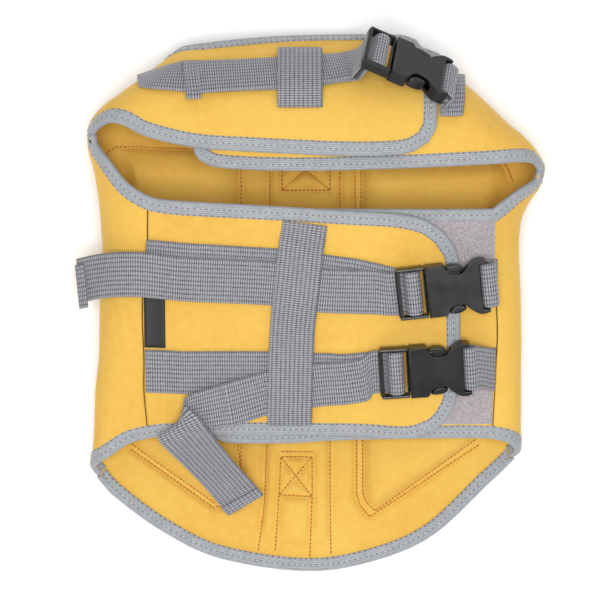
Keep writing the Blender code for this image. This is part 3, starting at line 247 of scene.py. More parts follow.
# The lower strap's free end folds over itself and falls into the tail: both edges and heights
LOWER_END = (              # upper edge x, y, z, lower edge x, y, z
    (-40.0, -46.0, 42.5, -36.0, -70.6, 36.6),
    (-55.0, -50.6, 41.6, -56.5, -73.2, 36.6),
    (-62.4, -53.4, 41.4, -74.0, -74.2, 36.8),
    (-65.2, -56.6, 42.8, -79.4, -75.6, 38.6),
    (-63.4, -59.6, 44.4, -79.0, -79.2, 40.2),
    (-57.0, -65.0, 44.0, -73.6, -85.2, 38.0),
    (-51.0, -73.0, 40.5, -68.0, -91.0, 32.5),
    (-44.0, -82.7, 32.5, -61.0, -99.0, 23.5),
    (-36.0, -93.0, 23.5, -53.0, -108.0, 17.5),
    (-28.0, -102.5, 18.6, -46.4, -116.2, 15.2),
    (-20.8, -110.4, 16.6, -41.0, -122.4, 12.8),
)
KEEPER = (                 # upright strap over both: x, y, lift
    (2.7, 43.5, 1.0), (1.9, 37.5, 1.6), (1.2, 33.5, 3.1), (0.6, 29.5, 4.4), (-0.5, 20.0, 4.5),
    (-2.0, 6.0, 4.5), (-3.2, -4.0, 4.4), (-4.2, -14.5, 2.6), (-4.8, -25.5, 4.4),
    (-5.2, -40.0, 4.5), (-5.6, -56.0, 4.5), (-5.8, -62.0, 4.1), (-5.8, -68.5, 2.4),
)
CHEST_BASE = ((-88.2, 120.1), (-66.8, 120.8), (-47.2, 120.8), (-12.8, 121.8), (6.0, 123.0),
              (16.0, 124.4), (28.5, 125.6))
CHEST_TAIL = ((26.0, 125.6), (12.2, 123.8), (-12.8, 121.6), (-47.2, 119.8), (-64.4, 118.6))
CHEST_KEEPER = ((0.0, 135.8, 1.0), (0.0, 135.0, 2.8), (0.0, 133.2, 4.8), (0.0, 129.4, 5.9),
                (0.0, 122.0, 6.2), (0.0, 114.0, 5.9), (0.0, 110.0, 4.8), (0.0, 107.6, 2.8),
                (0.0, 105.4, 1.0))

# Buckles: where the anchor is sewn, the ladder's outer end, heading and roll in degrees
BUCKLES = {
    "upper": ((109.4, 11.0), (53.7, 5.6), 6.5, 3.0),
    "lower": ((109.4, -38.5), (44.3, -38.2), 4.0, 4.0),
    "chest": ((88.6, 111.5), (33.0, 135.8), -22.5, -45.0),
}
CHEST_BUCKLE = (-11.0, 66.4)   # the tilted buckle's climb in degrees and its ladder end's height
BUCKLE_DROP = 0.4          # how far the two belly buckles lie off the cloth
# Each buckle lies along x from its ladder's end, z off the cloth: half outlines, y above 0
LADDER_HALF = [(0.0, 12.0), (0.6, 13.6), (1.9, 14.4), (3.4, 14.6), (16.5, 14.6)]
LADDER_Z = (4.4, 9.2)
LADDER_SLOTS = ((2.4, 7.6), (10.3, 15.3))
LADDER_RAILS = (((0.9, 16.4), (13.1, 14.5), (2.6, 9.4)), ((0.9, 16.4), (-14.5, -13.1), (2.6, 9.4)))
SLOT_Y, SLOT_Z = (-12.9, 12.9), (0.0, 14.0)
BAR_TOP = ((7.0, 10.9), SLOT_Y, (7.6, 12.0))    # cut away over the ladder's bar
PRONGS = (((15.6, 40.0), (-3.5, 3.5), (4.6, 7.6)), ((15.6, 36.0), (7.6, 11.2), (4.6, 7.6)),
          ((15.6, 36.0), (-11.2, -7.6), (4.6, 7.6)))
PAD = [(28.0, 13.4), (29.2, 11.5), (31.0, 10.1), (33.6, 9.5), (36.2, 9.9), (37.9, 11.0),
       (37.1, 12.4), (34.8, 13.5), (31.4, 13.9)]
PAD_Z = (3.0, 9.0)
BODY_HALF = [(16.9, 14.5), (26.4, 14.6), (27.5, 13.3), (28.6, 10.9), (30.4, 9.2), (32.4, 8.5),
             (34.6, 8.4), (36.6, 8.9), (38.2, 10.0), (39.2, 11.3), (40.8, 12.6), (42.8, 14.2),
             (44.8, 15.2), (46.8, 15.4), (48.6, 15.2), (50.2, 14.8), (51.1, 14.1), (51.0, 13.3),
             (50.0, 12.9), (48.0, 12.9), (47.1, 12.8), (46.8, 11.8), (46.7, 7.0), (46.6, 3.0)]
BODY_Z = (1.8, 10.1)
COLLAR_HALF = [(16.9, 14.8), (18.3, 14.8)]
COLLAR_Z = (1.6, 10.35)
BODY_MOUTH = ((10.0, 42.0), (-12.6, 12.6), (4.0, 8.3))
BODY_BAR = ((49.0, 50.8), (-13.6, 13.6), (4.6, 7.0))
# Rounded edges: width, steps and least angle in degrees
PLATE_ROUND, BODY_ROUND, LAST_ROUND = (1.0, 4, 50), (0.8, 3, 50), (0.3, 3, 40)
SLOT_ROUND, MOULD_ROUND, PRONG_ROUND = (0.8, 3), (0.7, 3), (0.5, 2)
SHARP_ANGLE = 38.0          # between faces that are shaded apart
ANCHOR_LOOP = (             # an anchor strap round the body's bar: x, z
    (55.4, 6.0), (53.3, 8.1), (50.4, 8.8), (48.5, 7.9), (47.8, 5.8), (48.5, 3.7), (50.4, 2.8),
    (52.8, 3.4), (53.8, 4.6),
)
LADDER_RUN = (              # a strap up through a ladder and back: x, z
    (5.6, 1.5), (10.0, 1.6), (12.2, 2.5), (13.0, 4.4), (13.0, 6.6), (11.9, 8.6), (9.1, 9.2),
    (6.7, 8.4), (5.7, 6.6), (5.3, 5.2), (4.5, 4.0), (2.0, 3.4), (-4.0, 3.35),
)
CHEST_RUN = ((4.6, -7.0),) + LADDER_RUN[:-2] + ((2.6, 2.6), (1.4, 0.0), (0.6, -7.0))
LABEL_PLACE = (-87.3, -75.4, -26.6, 5.0)
PATCHES = (("upper", -1.0, 44.4), ("lower", -70.0, -28.0))
PATCH_X = (64.0, 108.6)
PATCH_GRID, LABEL_GRID = (24, 26), (16, 8)
# Rows of points along each strap's base and tail, the lower strap's folded end and the keepers
BASE_ROWS, TAIL_ROWS, FOLD_ROWS = 10, {"upper": 11, "lower": 5, "chest": 9}, 20
STRAP_RUNS = {              # base, tail, how much higher they lie, and the run through the ladder
    "upper": (UPPER_BASE, UPPER_TAIL, 0.0, LADDER_RUN),
    "lower": (LOWER_BASE, LOWER_TAIL, 0.0, LADDER_RUN),
    "chest": (CHEST_BASE, CHEST_TAIL, CHEST_EASE, CHEST_RUN),
}
KEEPERS = (("keeper_belly", KEEPER, 30), ("keeper_chest", CHEST_KEEPER, 14))
END_ROWS, BACK_STRAP_ROWS = 6, 12


# ---- curves and the tube -------------------------------------------------------------------


def smooth_column(table, column):
    """A monotone cubic through one column of a table whose first column rises."""
    t = np.array([row[0] for row in table], float)
    v = np.array([row[column] for row in table], float)
    slope = np.diff(v) / np.diff(t)
    turn = np.zeros(len(t))
    for i in range(1, len(t) - 1):
        if slope[i - 1] * slope[i] > 0:
            turn[i] = 2 * slope[i - 1] * slope[i] / (slope[i - 1] + slope[i])
    turn[0], turn[-1] = slope[0], slope[-1]

    def value(at):
        """The column's value at a place in the first one."""
        at = min(max(at, t[0]), t[-1])
        i = min(int(np.searchsorted(t, at, side="right")) - 1, len(t) - 2)
        h = t[i + 1] - t[i]
        a = (at - t[i]) / h
        return float(v[i] * (1 + 2 * a) * (1 - a) ** 2 + turn[i] * h * a * (1 - a) ** 2
                     + v[i + 1] * a * a * (3 - 2 * a) + turn[i + 1] * h * a * a * (a - 1))

    return value


left_fold = smooth_column(STATIONS, 1)
right_fold = smooth_column(STATIONS, 2)
tube_height = smooth_column(STATIONS, 3)


def half_girth(y):
    """Distance over the top from the left fold to the right fold."""
    r = tube_height(y) / 2
    return right_fold(y) - left_fold(y) - 2 * r + math.pi * r


def skin(y, s):
    """The tube's surface at a girth s from the left fold, over the top; negative s is below."""
    left, right, r = left_fold(y), right_fold(y), tube_height(y) / 2
    arc, flat = math.pi * r / 2, right - left - 2 * r
    if s < -arc - flat / 2:
        s += 2 * (2 * arc + flat)
    if s < -arc:
        return Vector((left + r - s - arc, y, 0))
    if s <= arc:
        return Vector((left + r - r * math.cos(s / r), y, r + r * math.sin(s / r)))
    if s < arc + flat:
        return Vector((left + r + s - arc, y, 2 * r))
    a = (s - arc - flat) / r
    if a <= math.pi:
        return Vector((right - r + r * math.sin(a), y, r + r * math.cos(a)))
    return Vector((right - r - (s - 3 * arc - flat), y, 0))


def tangents(y, s):
    """The tube's point, outward normal and its rates along girth and y at a place."""
    around = skin(y, s + 0.5) - skin(y, s - 0.5)
    along = skin(y + 0.5, s) - skin(y - 0.5, s)
    return skin(y, s), around.cross(along).normalized(), around, along


def surface(y, s, lift=0.0):
    """A point lifted off the tube, and the outward normal there."""
    point, normal, _, _ = tangents(y, s)
    return point + normal * lift, normal


def over(x, y):
    """Girth place on the tube's upper half of a plan place."""
    left, right, r = left_fold(y), right_fold(y), tube_height(y) / 2
    if x < left + r:
        return r * math.acos(min(1, (left + r - x) / r))
    if x > right - r:
        return half_girth(y) - r * math.acos(min(1, (x - right + r) / r))
    return math.pi * r / 2 + x - left - r


def centred(points, side=0):
    """Plan places as (girth, y), the girth from the middle, or from the fold of a side -1 or 1."""
    return [(over(x, y) - half_girth(y) * (1 + side) / 2, y) for x, y in points]


def between(a, b, c, d, t):
    """The place at a share from b to c on a smooth curve through four places."""
    return 0.5 * (2 * b + (c - a) * t + (2 * a - 5 * b + 4 * c - d) * t * t
                  + (3 * b - a - 3 * c + d) * t ** 3)


def curve(points):
    """A smooth curve through the points: a function of 0..1, evenly spaced along it."""
    p = np.array(points, float)
    ends = np.vstack([2 * p[0] - p[1], p, 2 * p[-1] - p[-2]])
    fine = [p[0]]
    for i in range(1, len(ends) - 2):
        fine += [between(*ends[i - 1:i + 3], k / 12) for k in range(1, 13)]
    fine = np.array(fine)
    length = np.concatenate([[0], np.cumsum(np.linalg.norm(np.diff(fine, axis=0), axis=1))])

    def at(t):
        """The place at a share of its length."""
        return np.array([np.interp(t * length[-1], length, fine[:, k])
                         for k in range(fine.shape[1])])

    return at


# ---- finishes ------------------------------------------------------------------------------


def linear(colour):
    """A colour written as sRGB hex, as linear light for a shader."""
    parts = [int(colour[k:k + 2], 16) / 255 for k in (1, 3, 5)]
    return (*[c / 12.92 if c <= 0.04045 else ((c + 0.055) / 1.055) ** 2.4 for c in parts], 1)


def node(tree, kind, settings=(), links=()):
    """Adds a node with its settings, by attribute or socket, and the links into it."""
    made = tree.nodes.new(kind)
    for key, value in dict(settings).items():
        if hasattr(made, str(key)) and not isinstance(key, int):
            setattr(made, key, value)
        else:
            made.inputs[key].default_value = value
    for key, source in dict(links).items():
        tree.links.new(source, made.inputs[key])
    return made


def finish_named(name, colour, roughness, **sockets):
    """A new material and its shader, with what is the same all over it set on the shader."""
    made = bpy.data.materials.new(name)
    made.use_nodes = True
    shader = made.node_tree.nodes["Principled BSDF"]
    shader.inputs["Base Color"].default_value = linear(colour)
    shader.inputs["Roughness"].default_value = roughness
    for key, value in sockets.items():
        shader.inputs[key.replace("_", " ")].default_value = value
    return made, made.node_tree, shader


def blend_colours(tree, share, first, second):
    """A mix of two colours by a share that a node gives; a colour is hex or a socket."""
    mix = node(tree, "ShaderNodeMix", {"data_type": "RGBA"})
    if isinstance(share, float):
        mix.inputs["Factor"].default_value = share
    else:
        tree.links.new(share, mix.inputs["Factor"])
    for key, colour in (("A", first), ("B", second)):
        socket = [s for s in mix.inputs if s.name == key and s.type == "RGBA"][0]
        if isinstance(colour, str):
            socket.default_value = linear(colour)
        else:
            tree.links.new(colour, socket)
    return [s for s in mix.outputs if s.type == "RGBA"][0]


def curve_of(tree, source, stops):
    """A number remapped through stops of (from, to)."""
    ramp_node = node(tree, "ShaderNodeValToRGB", links={"Fac": source})
    marks = ramp_node.color_ramp.elements
    while len(marks) < len(stops):
        marks.new(0.5)
    for mark, (place, value) in zip(marks, stops):
        mark.position = place
        mark.color = (value, value, value, 1)
    return ramp_node.outputs["Color"]


def sums(tree, how, first, second):
    """Arithmetic on two numbers, each a value or a socket."""
    made = node(tree, "ShaderNodeMath", {"operation": how})
    for k, value in enumerate((first, second)):
        if isinstance(value, (int, float)):
            made.inputs[k].default_value = value
        else:
            tree.links.new(value, made.inputs[k])
    return made.outputs[0]


def weighted(tree, first, second, share):
    """The first number and a share of the second."""
    return sums(tree, "ADD", first, sums(tree, "MULTIPLY", second, share))


def texture(tree, kind, out=0, **settings):
    """One number of a pattern over a piece; two underscores in a setting's name are a space."""
    place = node(tree, "ShaderNodeTexCoord").outputs["Object"]
    made = node(tree, "ShaderNodeTex" + kind, {key.replace("__", " "): value
                                               for key, value in settings.items()},
                {"Vector": place})
    return made.outputs[out]


def noise(tree, scale, detail):
    """A cloud of numbers about 0.5."""
    return texture(tree, "Noise", Scale=scale, Detail=detail)


def dye(tree, shader, colour):
    """Gives a shader a colour that varies over it."""
    tree.links.new(colour, shader.inputs["Base Color"])


def raise_up(tree, shader, height, strength, distance):
    """Small relief, its distance in metres."""
    bump = node(tree, "ShaderNodeBump", {"Strength": strength, "Distance": distance},
                {"Height": height})
    tree.links.new(bump.outputs[0], shader.inputs["Normal"])


def jersey_neoprene():
    """Foam rubber faced with fine yellow jersey: soft and matt, with a faint bloom at the edge.

    The knit's 0.6 mm wales are too fine to show, so they are drawn at 1.3 mm."""
    made, tree, shader = finish_named("neoprene_yellow_jersey", "#eebb52", 0.82,
                                      Sheen_Weight=0.25, Sheen_Roughness=0.45,
                                      Sheen_Tint=linear("#ffe3a0"), IOR=1.45,
                                      Specular_IOR_Level=0.25)
    cloudy = noise(tree, 14.0, 3.0)
    fine = noise(tree, 240.0, 2.0)
    tone = blend_colours(tree, curve_of(tree, cloudy, ((0.35, 0.0), (0.7, 1.0))),
                         "#d1a244", "#d7ad4e")
    grain = curve_of(tree, fine, ((0.3, 0.0), (0.75, 1.0)))
    colour = blend_colours(tree, sums(tree, "MULTIPLY", grain, 0.35), tone, "#deba62")
    dye(tree, shader, colour)
    knit = texture(tree, "Wave", 1, wave_type="BANDS", bands_direction="X", Scale=240.0,
                   Distortion=1.2, Detail=1.0, Detail__Scale=2.0)
    height = weighted(tree, weighted(tree, fine, knit, 0.5), cloudy, 2.0)
    raise_up(tree, shader, height, 0.25, 0.0003)
    return made


def strip_place(tree):
    """Millimetres along and across a strip, from its UV map."""
    split = node(tree, "ShaderNodeSeparateXYZ",
                 links={"Vector": node(tree, "ShaderNodeUVMap", {"uv_map": "strip"}).outputs[0]})
    return split.outputs["X"], split.outputs["Y"]


def wave(tree, source, period):
    """0 to 1 and back over each period of a number in millimetres."""
    turn = sums(tree, "MULTIPLY", source, 2 * math.pi / period)
    return sums(tree, "ADD", sums(tree, "MULTIPLY", sums(tree, "SINE", turn, 0.0), 0.5), 0.5)


def woven_polypropylene():
    """Grey polypropylene webbing, plain woven: pale cells, 1.3 mm along it and 2.5 mm across."""
    made, tree, shader = finish_named("polypropylene_webbing_grey", "#8e8f93", 0.55,
                                      Sheen_Weight=0.15, Sheen_Roughness=0.5,
                                      Specular_IOR_Level=0.4)
    along, across = strip_place(tree)
    warp = wave(tree, across, 2.5)
    weft = wave(tree, along, 1.3)
    cells = sums(tree, "MULTIPLY", sums(tree, "POWER", warp, 0.4), sums(tree, "POWER", weft, 0.8))
    fuzz = noise(tree, 500.0, 2.0)
    cloudy = noise(tree, 40.0, 2.0)
    shade = weighted(tree, cells, fuzz, 0.35)
    colour = blend_colours(tree, curve_of(tree, shade, ((0.12, 0.0), (0.75, 1.0))),
                           "#0f1115", "#9b9ba1")
    colour = blend_colours(tree, sums(tree, "MULTIPLY", cloudy, 0.3), colour, "#75767d")
    dye(tree, shader, colour)
    raise_up(tree, shader, cells, 0.6, 0.0004)
    return made


def knitted_tape():
    """Pale grey knitted binding with fine ribs along it, drawn 1.1 mm apart, and soft fibres."""
    made, tree, shader = finish_named("polyester_binding_grey", "#b3b5b8", 0.75,
                                      Sheen_Weight=0.3, Sheen_Roughness=0.4,
                                      Specular_IOR_Level=0.3)
    along, across = strip_place(tree)
    ribs = wave(tree, across, 1.1)
    loops = wave(tree, along, 1.2)
    fuzz = noise(tree, 420.0, 3.0)
    cloudy = noise(tree, 60.0, 2.0)
    shade = weighted(tree, sums(tree, "MULTIPLY", ribs, 0.3), fuzz, 0.4)
    shade = weighted(tree, shade, cloudy, 0.12)
    colour = blend_colours(tree, curve_of(tree, shade, ((0.2, 0.0), (0.6, 1.0))),
                           "#7d8084", "#a4a7ab")
    dye(tree, shader, colour)
    height = weighted(tree, sums(tree, "MULTIPLY", ribs, 0.35), loops, 0.3)
    height = weighted(tree, height, fuzz, 0.8)
    raise_up(tree, shader, height, 0.5, 0.0003)
    return made


def loop_fabric():
    """Brushed nylon loop tape, grey with a warm tint: a matt pile of tangled loops."""
    made, tree, shader = finish_named("nylon_loop_grey", "#a79fa1", 0.95,
                                      Sheen_Weight=0.6, Sheen_Roughness=0.6,
                                      Specular_IOR_Level=0.15)
    pile = noise(tree, 700.0, 3.0)
    tufts = texture(tree, "Voronoi", Scale=900.0)
    shade = weighted(tree, sums(tree, "MULTIPLY", pile, 0.8), tufts, 0.35)
    colour = blend_colours(tree, curve_of(tree, shade, ((0.35, 0.0), (0.8, 1.0))),
                           "#857d80", "#aba3a5")
    dye(tree, shader, colour)
    raise_up(tree, shader, shade, 0.8, 0.0005)
    return made


def moulded_acetal():
    """Black acetal, injection moulded: satin, with the faint unevenness of a textured mould."""
    made, tree, shader = finish_named("acetal_black_moulded", "#141517", 0.3, IOR=1.48)
    fine = noise(tree, 1400.0, 2.0)
    rub = noise(tree, 90.0, 4.0)
    rough = curve_of(tree, rub, ((0.3, 0.26), (0.7, 0.36)))
    tree.links.new(rough, shader.inputs["Roughness"])
    colour = blend_colours(tree, curve_of(tree, rub, ((0.4, 0.0), (0.75, 0.6))),
                           "#0a0b0c", "#141518")
    dye(tree, shader, colour)
    raise_up(tree, shader, fine, 0.12, 0.0001)
    return made


def woven_label():
    """Black damask label, bare: a fine satin weave with a soft shine."""
    made, tree, shader = finish_named("polyester_label_black", "#1b1b1d", 0.55,
                                      Sheen_Weight=0.2)
    weave = texture(tree, "Wave", 1, wave_type="BANDS", bands_direction="Y", Scale=300.0,
                    Distortion=0.4)
    colour = blend_colours(tree, weave, "#08080a", "#0f0f11")
    dye(tree, shader, colour)
    raise_up(tree, shader, weave, 0.3, 0.0002)
    return made


def sewing_thread(name, colour):
    """Twisted polyester thread, slightly shiny. In a dark colour the same finish is the painted
    shade of the needle holes; in ochre it also carries the painted shade of the quilting grooves.
    """
    made, tree, shader = finish_named(name, colour, 0.6, Sheen_Weight=0.1)
    twist = noise(tree, 900.0, 1.0)
    paler = blend_colours(tree, 0.25, colour, "#e0a040")
    tone = blend_colours(tree, sums(tree, "MULTIPLY", twist, 0.5), colour, paler)
    dye(tree, shader, tone)
    return made


FINISHES = {
    "neoprene": jersey_neoprene(),
    "tape": knitted_tape(),
    "webbing": woven_polypropylene(),
    "loop": loop_fabric(),
    "acetal": moulded_acetal(),
    "label": woven_label(),
    # ochre quilting thread; its dark tone and width also carry the painted shade of the seam
    # grooves
    "ochre_thread_and_groove_shade": sewing_thread("ochre_thread_and_groove_shade", "#a9640f"),
    "thread_grey": sewing_thread("thread_grey", "#b4b6b8"),
    # dark marks of painted shade for the needle holes in the binding, not a thread
    "needle_hole_shade": sewing_thread("needle_hole_shade", "#4a443d"),
}


def ramp(value, start, end):
    """0 before start, 1 after end, smooth between; a number or an array."""
    t = np.clip((value - start) / (end - start), 0, 1)
    return t * t * (3 - 2 * t)


def patch(low, high, start, end, across, along):
    """Grid of places between four curves, at shares across and along it."""
    corner = (low(0), low(1), high(0), high(1))
    grid = []
    for v in along:
        line = []
        for u in across:
            corners = ((1 - u) * (1 - v) * corner[0] + u * (1 - v) * corner[1]
                       + (1 - u) * v * corner[2] + u * v * corner[3])
            line.append((1 - v) * low(u) + v * high(u) + (1 - u) * start(v) + u * end(v)
                        - corners)
        grid.append(line)
    return grid


def joined(first, second, share):
    """Two curves end to end, the first taking that share of 0..1."""
    return lambda t: first(t / share) if t <= share else second((t - share) / (1 - share))


def seam_place(y, side, under=SEAM_UNDER):
    """Where a side seam runs under a fold, side -1 left and 1 right, measured over the top."""
    return side * (half_girth(y) / 2 + under), y


def belly_seam(side):
    """The seam between a roll and its belly wing, its girth from the middle."""
    seam = curve(centred(SIDE_ROLLS[side][2], side))

    def at(t):
        """The place at a share of the seam's length."""
        c, y = seam(t)
        return np.array((c + side * half_girth(y) / 2, y))

    return at


def side_run(low_y, high_y, side, turn=1):
    """A run along a side seam; turn -1 measures it over the underside."""
    return lambda t: np.array(seam_place(low_y + t * (high_y - low_y), side, turn * SEAM_UNDER))


# ---- meshes --------------------------------------------------------------------------------


def placed(name, data):
    """A new object of some data, in the scene."""
    made = bpy.data.objects.new(name, data)
    bpy.context.scene.collection.objects.link(made)
    return made


def mesh_piece(name, points, faces, finish):
    """An object from points in millimetres in the jacket's own frame, its place in its mesh."""
    mesh = bpy.data.meshes.new(name)
    place = (np.array([tuple(p) for p in points], float) - (*ORIGIN, 0)) * MM
    mesh.from_pydata(place.tolist(), [], faces)
    mesh.update()
    mesh.materials.append(FINISHES[finish])
    mesh.shade_smooth()
    return placed(name, mesh)


def settle(made):
    """Applies an object's modifiers to its mesh."""
    shown = made.evaluated_get(bpy.context.evaluated_depsgraph_get())
    mesh = bpy.data.meshes.new_from_object(shown)
    made.modifiers.clear()
    made.data = mesh


def done(made, finish, *nodes):
    """Applies a piece's modifiers and puts it in the frame, in place of its CAD nodes."""
    if made.modifiers:
        settle(made)
        made.data.name = made.name
    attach(made, "root")
    if nodes:
        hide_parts(*nodes)
    return made


def grid_faces(rows, cols, base, flip):
    """Quads over a grid of points in rows, facing the side from which columns run right."""
    wide = cols + 1
    quads = [(base + i * wide + j, base + i * wide + j + 1, base + (i + 1) * wide + j + 1,
              base + (i + 1) * wide + j) for i in range(rows) for j in range(cols)]
    return [q[::-1] for q in quads] if flip else quads


def strip_faces(rows, wide, flip):
    """Quads round a strip of rows of points that each go once round it, and its two end caps."""
    faces = []
    for i in range(rows - 1):
        for j in range(wide):
            a, b = i * wide + j, i * wide + (j + 1) % wide
            faces.append((a, a + wide, b + wide, b) if flip else (a, b, b + wide, a + wide))
    first, last = tuple(range(wide)), tuple((rows - 1) * wide + j for j in range(wide))
    return faces + [first if flip else first[::-1], last[::-1] if flip else last]


def closed_shell(name, outer, inner, finish, flip):
    """A wall between two grids of points of the same size, closed round its border."""
    rows, cols = len(outer) - 1, len(outer[0]) - 1
    wide, count = cols + 1, (rows + 1) * (cols + 1)
    faces = grid_faces(rows, cols, 0, flip) + grid_faces(rows, cols, count, not flip)
    ring = ([(0, j) for j in range(cols)] + [(i, cols) for i in range(rows)]
            + [(rows, j) for j in range(cols, 0, -1)] + [(i, 0) for i in range(rows, 0, -1)])
    ring = [i * wide + j for i, j in ring]
    for a, b in zip(ring, ring[1:] + ring[:1]):
        quad = (a, a + count, b + count, b)
        faces.append(quad[::-1] if flip else quad)
    points = [p for line in outer for p in line] + [p for line in inner for p in line]
    return mesh_piece(name, points, faces, finish)


# ---- cloth ---------------------------------------------------------------------------------

CUTS, TAPES, STRAPS = [], [], []   # pieces with their flat sizes


def draw_in(grid, sides, amount, depth=1):
    """Moves whole sides of a grid square to themselves, in from the outline by an amount.

    The first depth rows behind a single side follow it, so that close rows don't cross."""
    rows, cols = len(grid) - 1, len(grid[0]) - 1
    runs = {"low": [(0, j) for j in range(cols + 1)],
            "high": [(rows, j) for j in range(cols, -1, -1)],
            "end": [(i, cols) for i in range(rows + 1)],
            "start": [(i, 0) for i in range(rows, -1, -1)]}
    path = []
    for side in sides:
        path += [pair for pair in runs[side] if pair not in path]
    moved = []
    for k, (i, j) in enumerate(path):
        ahead, behind = path[min(k + 1, len(path) - 1)], path[max(k - 1, 0)]
        run = grid[ahead[0]][ahead[1]] - grid[behind[0]][behind[1]]
        square = np.array((-run[1], run[0])) / np.linalg.norm(run)
        inner = grid[min(max(i, 1), rows - 1)][min(max(j, 1), cols - 1)] - grid[i][j]
        moved.append(grid[i][j] + square * math.copysign(amount, float(square @ inner)))
    for (i, j), place in zip(path, moved):
        shift = place - grid[i][j]
        grid[i][j] = place
        step = {"low": (1, 0), "high": (-1, 0), "start": (0, 1), "end": (0, -1)}[sides[0]]
        for n in range(1, depth):
            grid[i + n * step[0]][j + n * step[1]] += shift * (1 - n / depth)


def drift(x, y):
    """Slight unevenness of the cloth, in millimetres."""
    return (0.32 * math.sin(x / 17.0 + 0.6 * math.sin(y / 23.0)) * math.sin(y / 19.0 + 1.3)
            + 0.2 * math.sin(x / 9.0 - y / 13.0 + 0.8))


def uneven_at(point, from_start, from_end, calm):
    """The cloth's unevenness, which sets in over some columns from each end."""
    return drift(point.x, point.y) * float(ramp(from_start, *calm[0]) * ramp(from_end, *calm[1]))


def left_belly_lift(c, y):
    """How far the left belly wing lies over the right one, by girth from the middle and y."""
    middle = over(0, y) - half_girth(y) / 2
    return LAYER * ramp(c - middle, *BELLY_RISE)


def left_chest_lift(c, y):
    """The same for the left chest wing."""
    start = -half_girth(y) / 2 - SEAM_UNDER
    end = over(CHEST_RISE_X, y) - half_girth(y) / 2
    return LAYER * ramp(c, start, end)


def no_lift(_c, _y):
    """The right wings and the back lie on nothing."""
    return 0.0


def even(count):
    """Even shares from 0 to 1."""
    return [k / count for k in range(count + 1)]


def from_seam(count):
    """Shares across a wing, close together at its seam."""
    last = WING_CLOSE[-1]
    return [0, *WING_CLOSE[:-1]] + [last + (1 - last) * k / count for k in range(count + 1)]


SEAM_ROUND = (0.9, 0.42, 0.12)   # how far the cloth turns down to a seam, by place from it


def wing(name, outline, seam, lift, size, seam_share=0.0):
    """A wing of foam-backed cloth, its columns from its side seam to its free end.

    That share of its low edge is sewn on too, before the edge comes free."""
    rows, cols = size
    low, high, end = (curve(outline[k]) for k in ("low", "high", "end"))
    if seam_share:
        low = joined(curve([seam(0), outline["low"][0]]), low, seam_share)
    grid = patch(low, high, seam, end, from_seam(cols), even(rows))
    draw_in(grid, ("low", "end", "high"), CLOTH_INSET)
    draw_in(grid, ("start",), SEAM_GAP)
    outer, inner = [], []
    for line in grid:
        up, down = [], []
        for j, (c, y) in enumerate(line):
            point, normal = surface(y, c + half_girth(y) / 2, lift(c, y))
            turn = SEAM_ROUND[j] if j < len(SEAM_ROUND) else 0
            uneven = uneven_at(point, j, cols - j, WING_CALM)
            up.append(point + normal * (uneven - turn))
            down.append(point + normal * (uneven * 0.8 - WALL + turn * 0.5))
        outer.append(up)
        inner.append(down)
    made = closed_shell(name + "_cloth", outer, inner, "neoprene", low(0)[0] > low(1)[0])
    CUTS.append((done(made, "neoprene", name), *cut_size(grid, outer)))


def cut_size(grid, outer):
    """A wing's flat width, its length drawn out to the cloth's real area, and its filled share."""
    rim = grid[0] + [line[-1] for line in grid[1:]] + grid[-1][-2::-1]
    rim = np.array(rim + [line[0] for line in grid[-2:0:-1]])
    x, y = rim.T
    wide, tall = rim.max(0) - rim.min(0)
    seen = abs(np.sum(x * np.roll(y, -1) - y * np.roll(x, -1))) / 2
    cloth = sum((a - d).cross(b - c).length / 2 for low, high in zip(outer, outer[1:])
                for a, b, c, d in zip(low, low[1:], high, high[1:]))
    return wide, tall * cloth / seen, seen / (wide * tall)


def distance_to(points, path):
    """Least distance in plan from each of some points to a path of straight lines."""
    best = np.full(len(points), 1e9)
    for a, b in zip(path, path[1:]):
        a, b = np.array(a), np.array(b)
        along = np.clip(((points - a) @ (b - a)) / max((b - a) @ (b - a), 1e-9), 0, 1)
        best = np.minimum(best, np.linalg.norm(points - a - along[:, None] * (b - a), axis=1))
    return best


def inside(points, outline):
    """Whether each point lies inside a closed outline."""
    odd = np.zeros(len(points), bool)
    for (x0, y0), (x1, y1) in zip(outline, outline[1:] + outline[:1]):
        crosses = (y0 > points[:, 1]) != (y1 > points[:, 1])
        rise = (y1 - y0) if y1 != y0 else 1e-9
        odd ^= crosses & (points[:, 0] < x0 + (points[:, 1] - y0) * (x1 - x0) / rise)
    return odd


def back_walls(points, bound):
    """Thickness of the back panel at each point of its outer face, given its bound edges."""
    place, edges = np.array([tuple(p) for p in points]), np.array([tuple(p) for p in bound])
    nearest = np.full(len(place), 1e9)
    for k in range(0, len(edges), 40):
        gaps = np.linalg.norm(place[:, None] - edges[None, k:k + 40], axis=2)
        nearest = np.minimum(nearest, gaps.min(1))
    flat = place[:, :2]
    full = np.full(len(place), SPINE_WALL)
    for outline in POCKETS:
        depth = distance_to(flat, outline + outline[:1]) * np.where(inside(flat, outline), 1, -1)
        rise = ramp(depth, *POCKET_RISE[:2]) ** POCKET_RISE[2]
        full = np.maximum(full, SPINE_WALL + rise * (POCKET_WALL - SPINE_WALL))
    lines = np.full(len(place), 1e9)
    for path in QUILTING:
        lines = np.minimum(lines, distance_to(flat, path))
    puff, near, far = QUILT_PUFF
    deep, reach = QUILT_GROOVE
    full = full + puff * ramp(lines, near, far) - deep * np.exp(-(lines / reach) ** 2)
    side = ramp(place[:, 2], *ROLL_RISE)
    full = full * (1 - side) + SIDE_WALL * side
    edge = ramp(nearest, *EDGE_FLAT)
    return WALL + edge * (full - WALL)


def floor_rise(z, near=1.0):
    """How far a bound edge stands up off the ground for the binding under it."""
    return max(0.0, TAPE_CLEAR + TAPE_WALL + FLOOR_CLEAR - z) * near


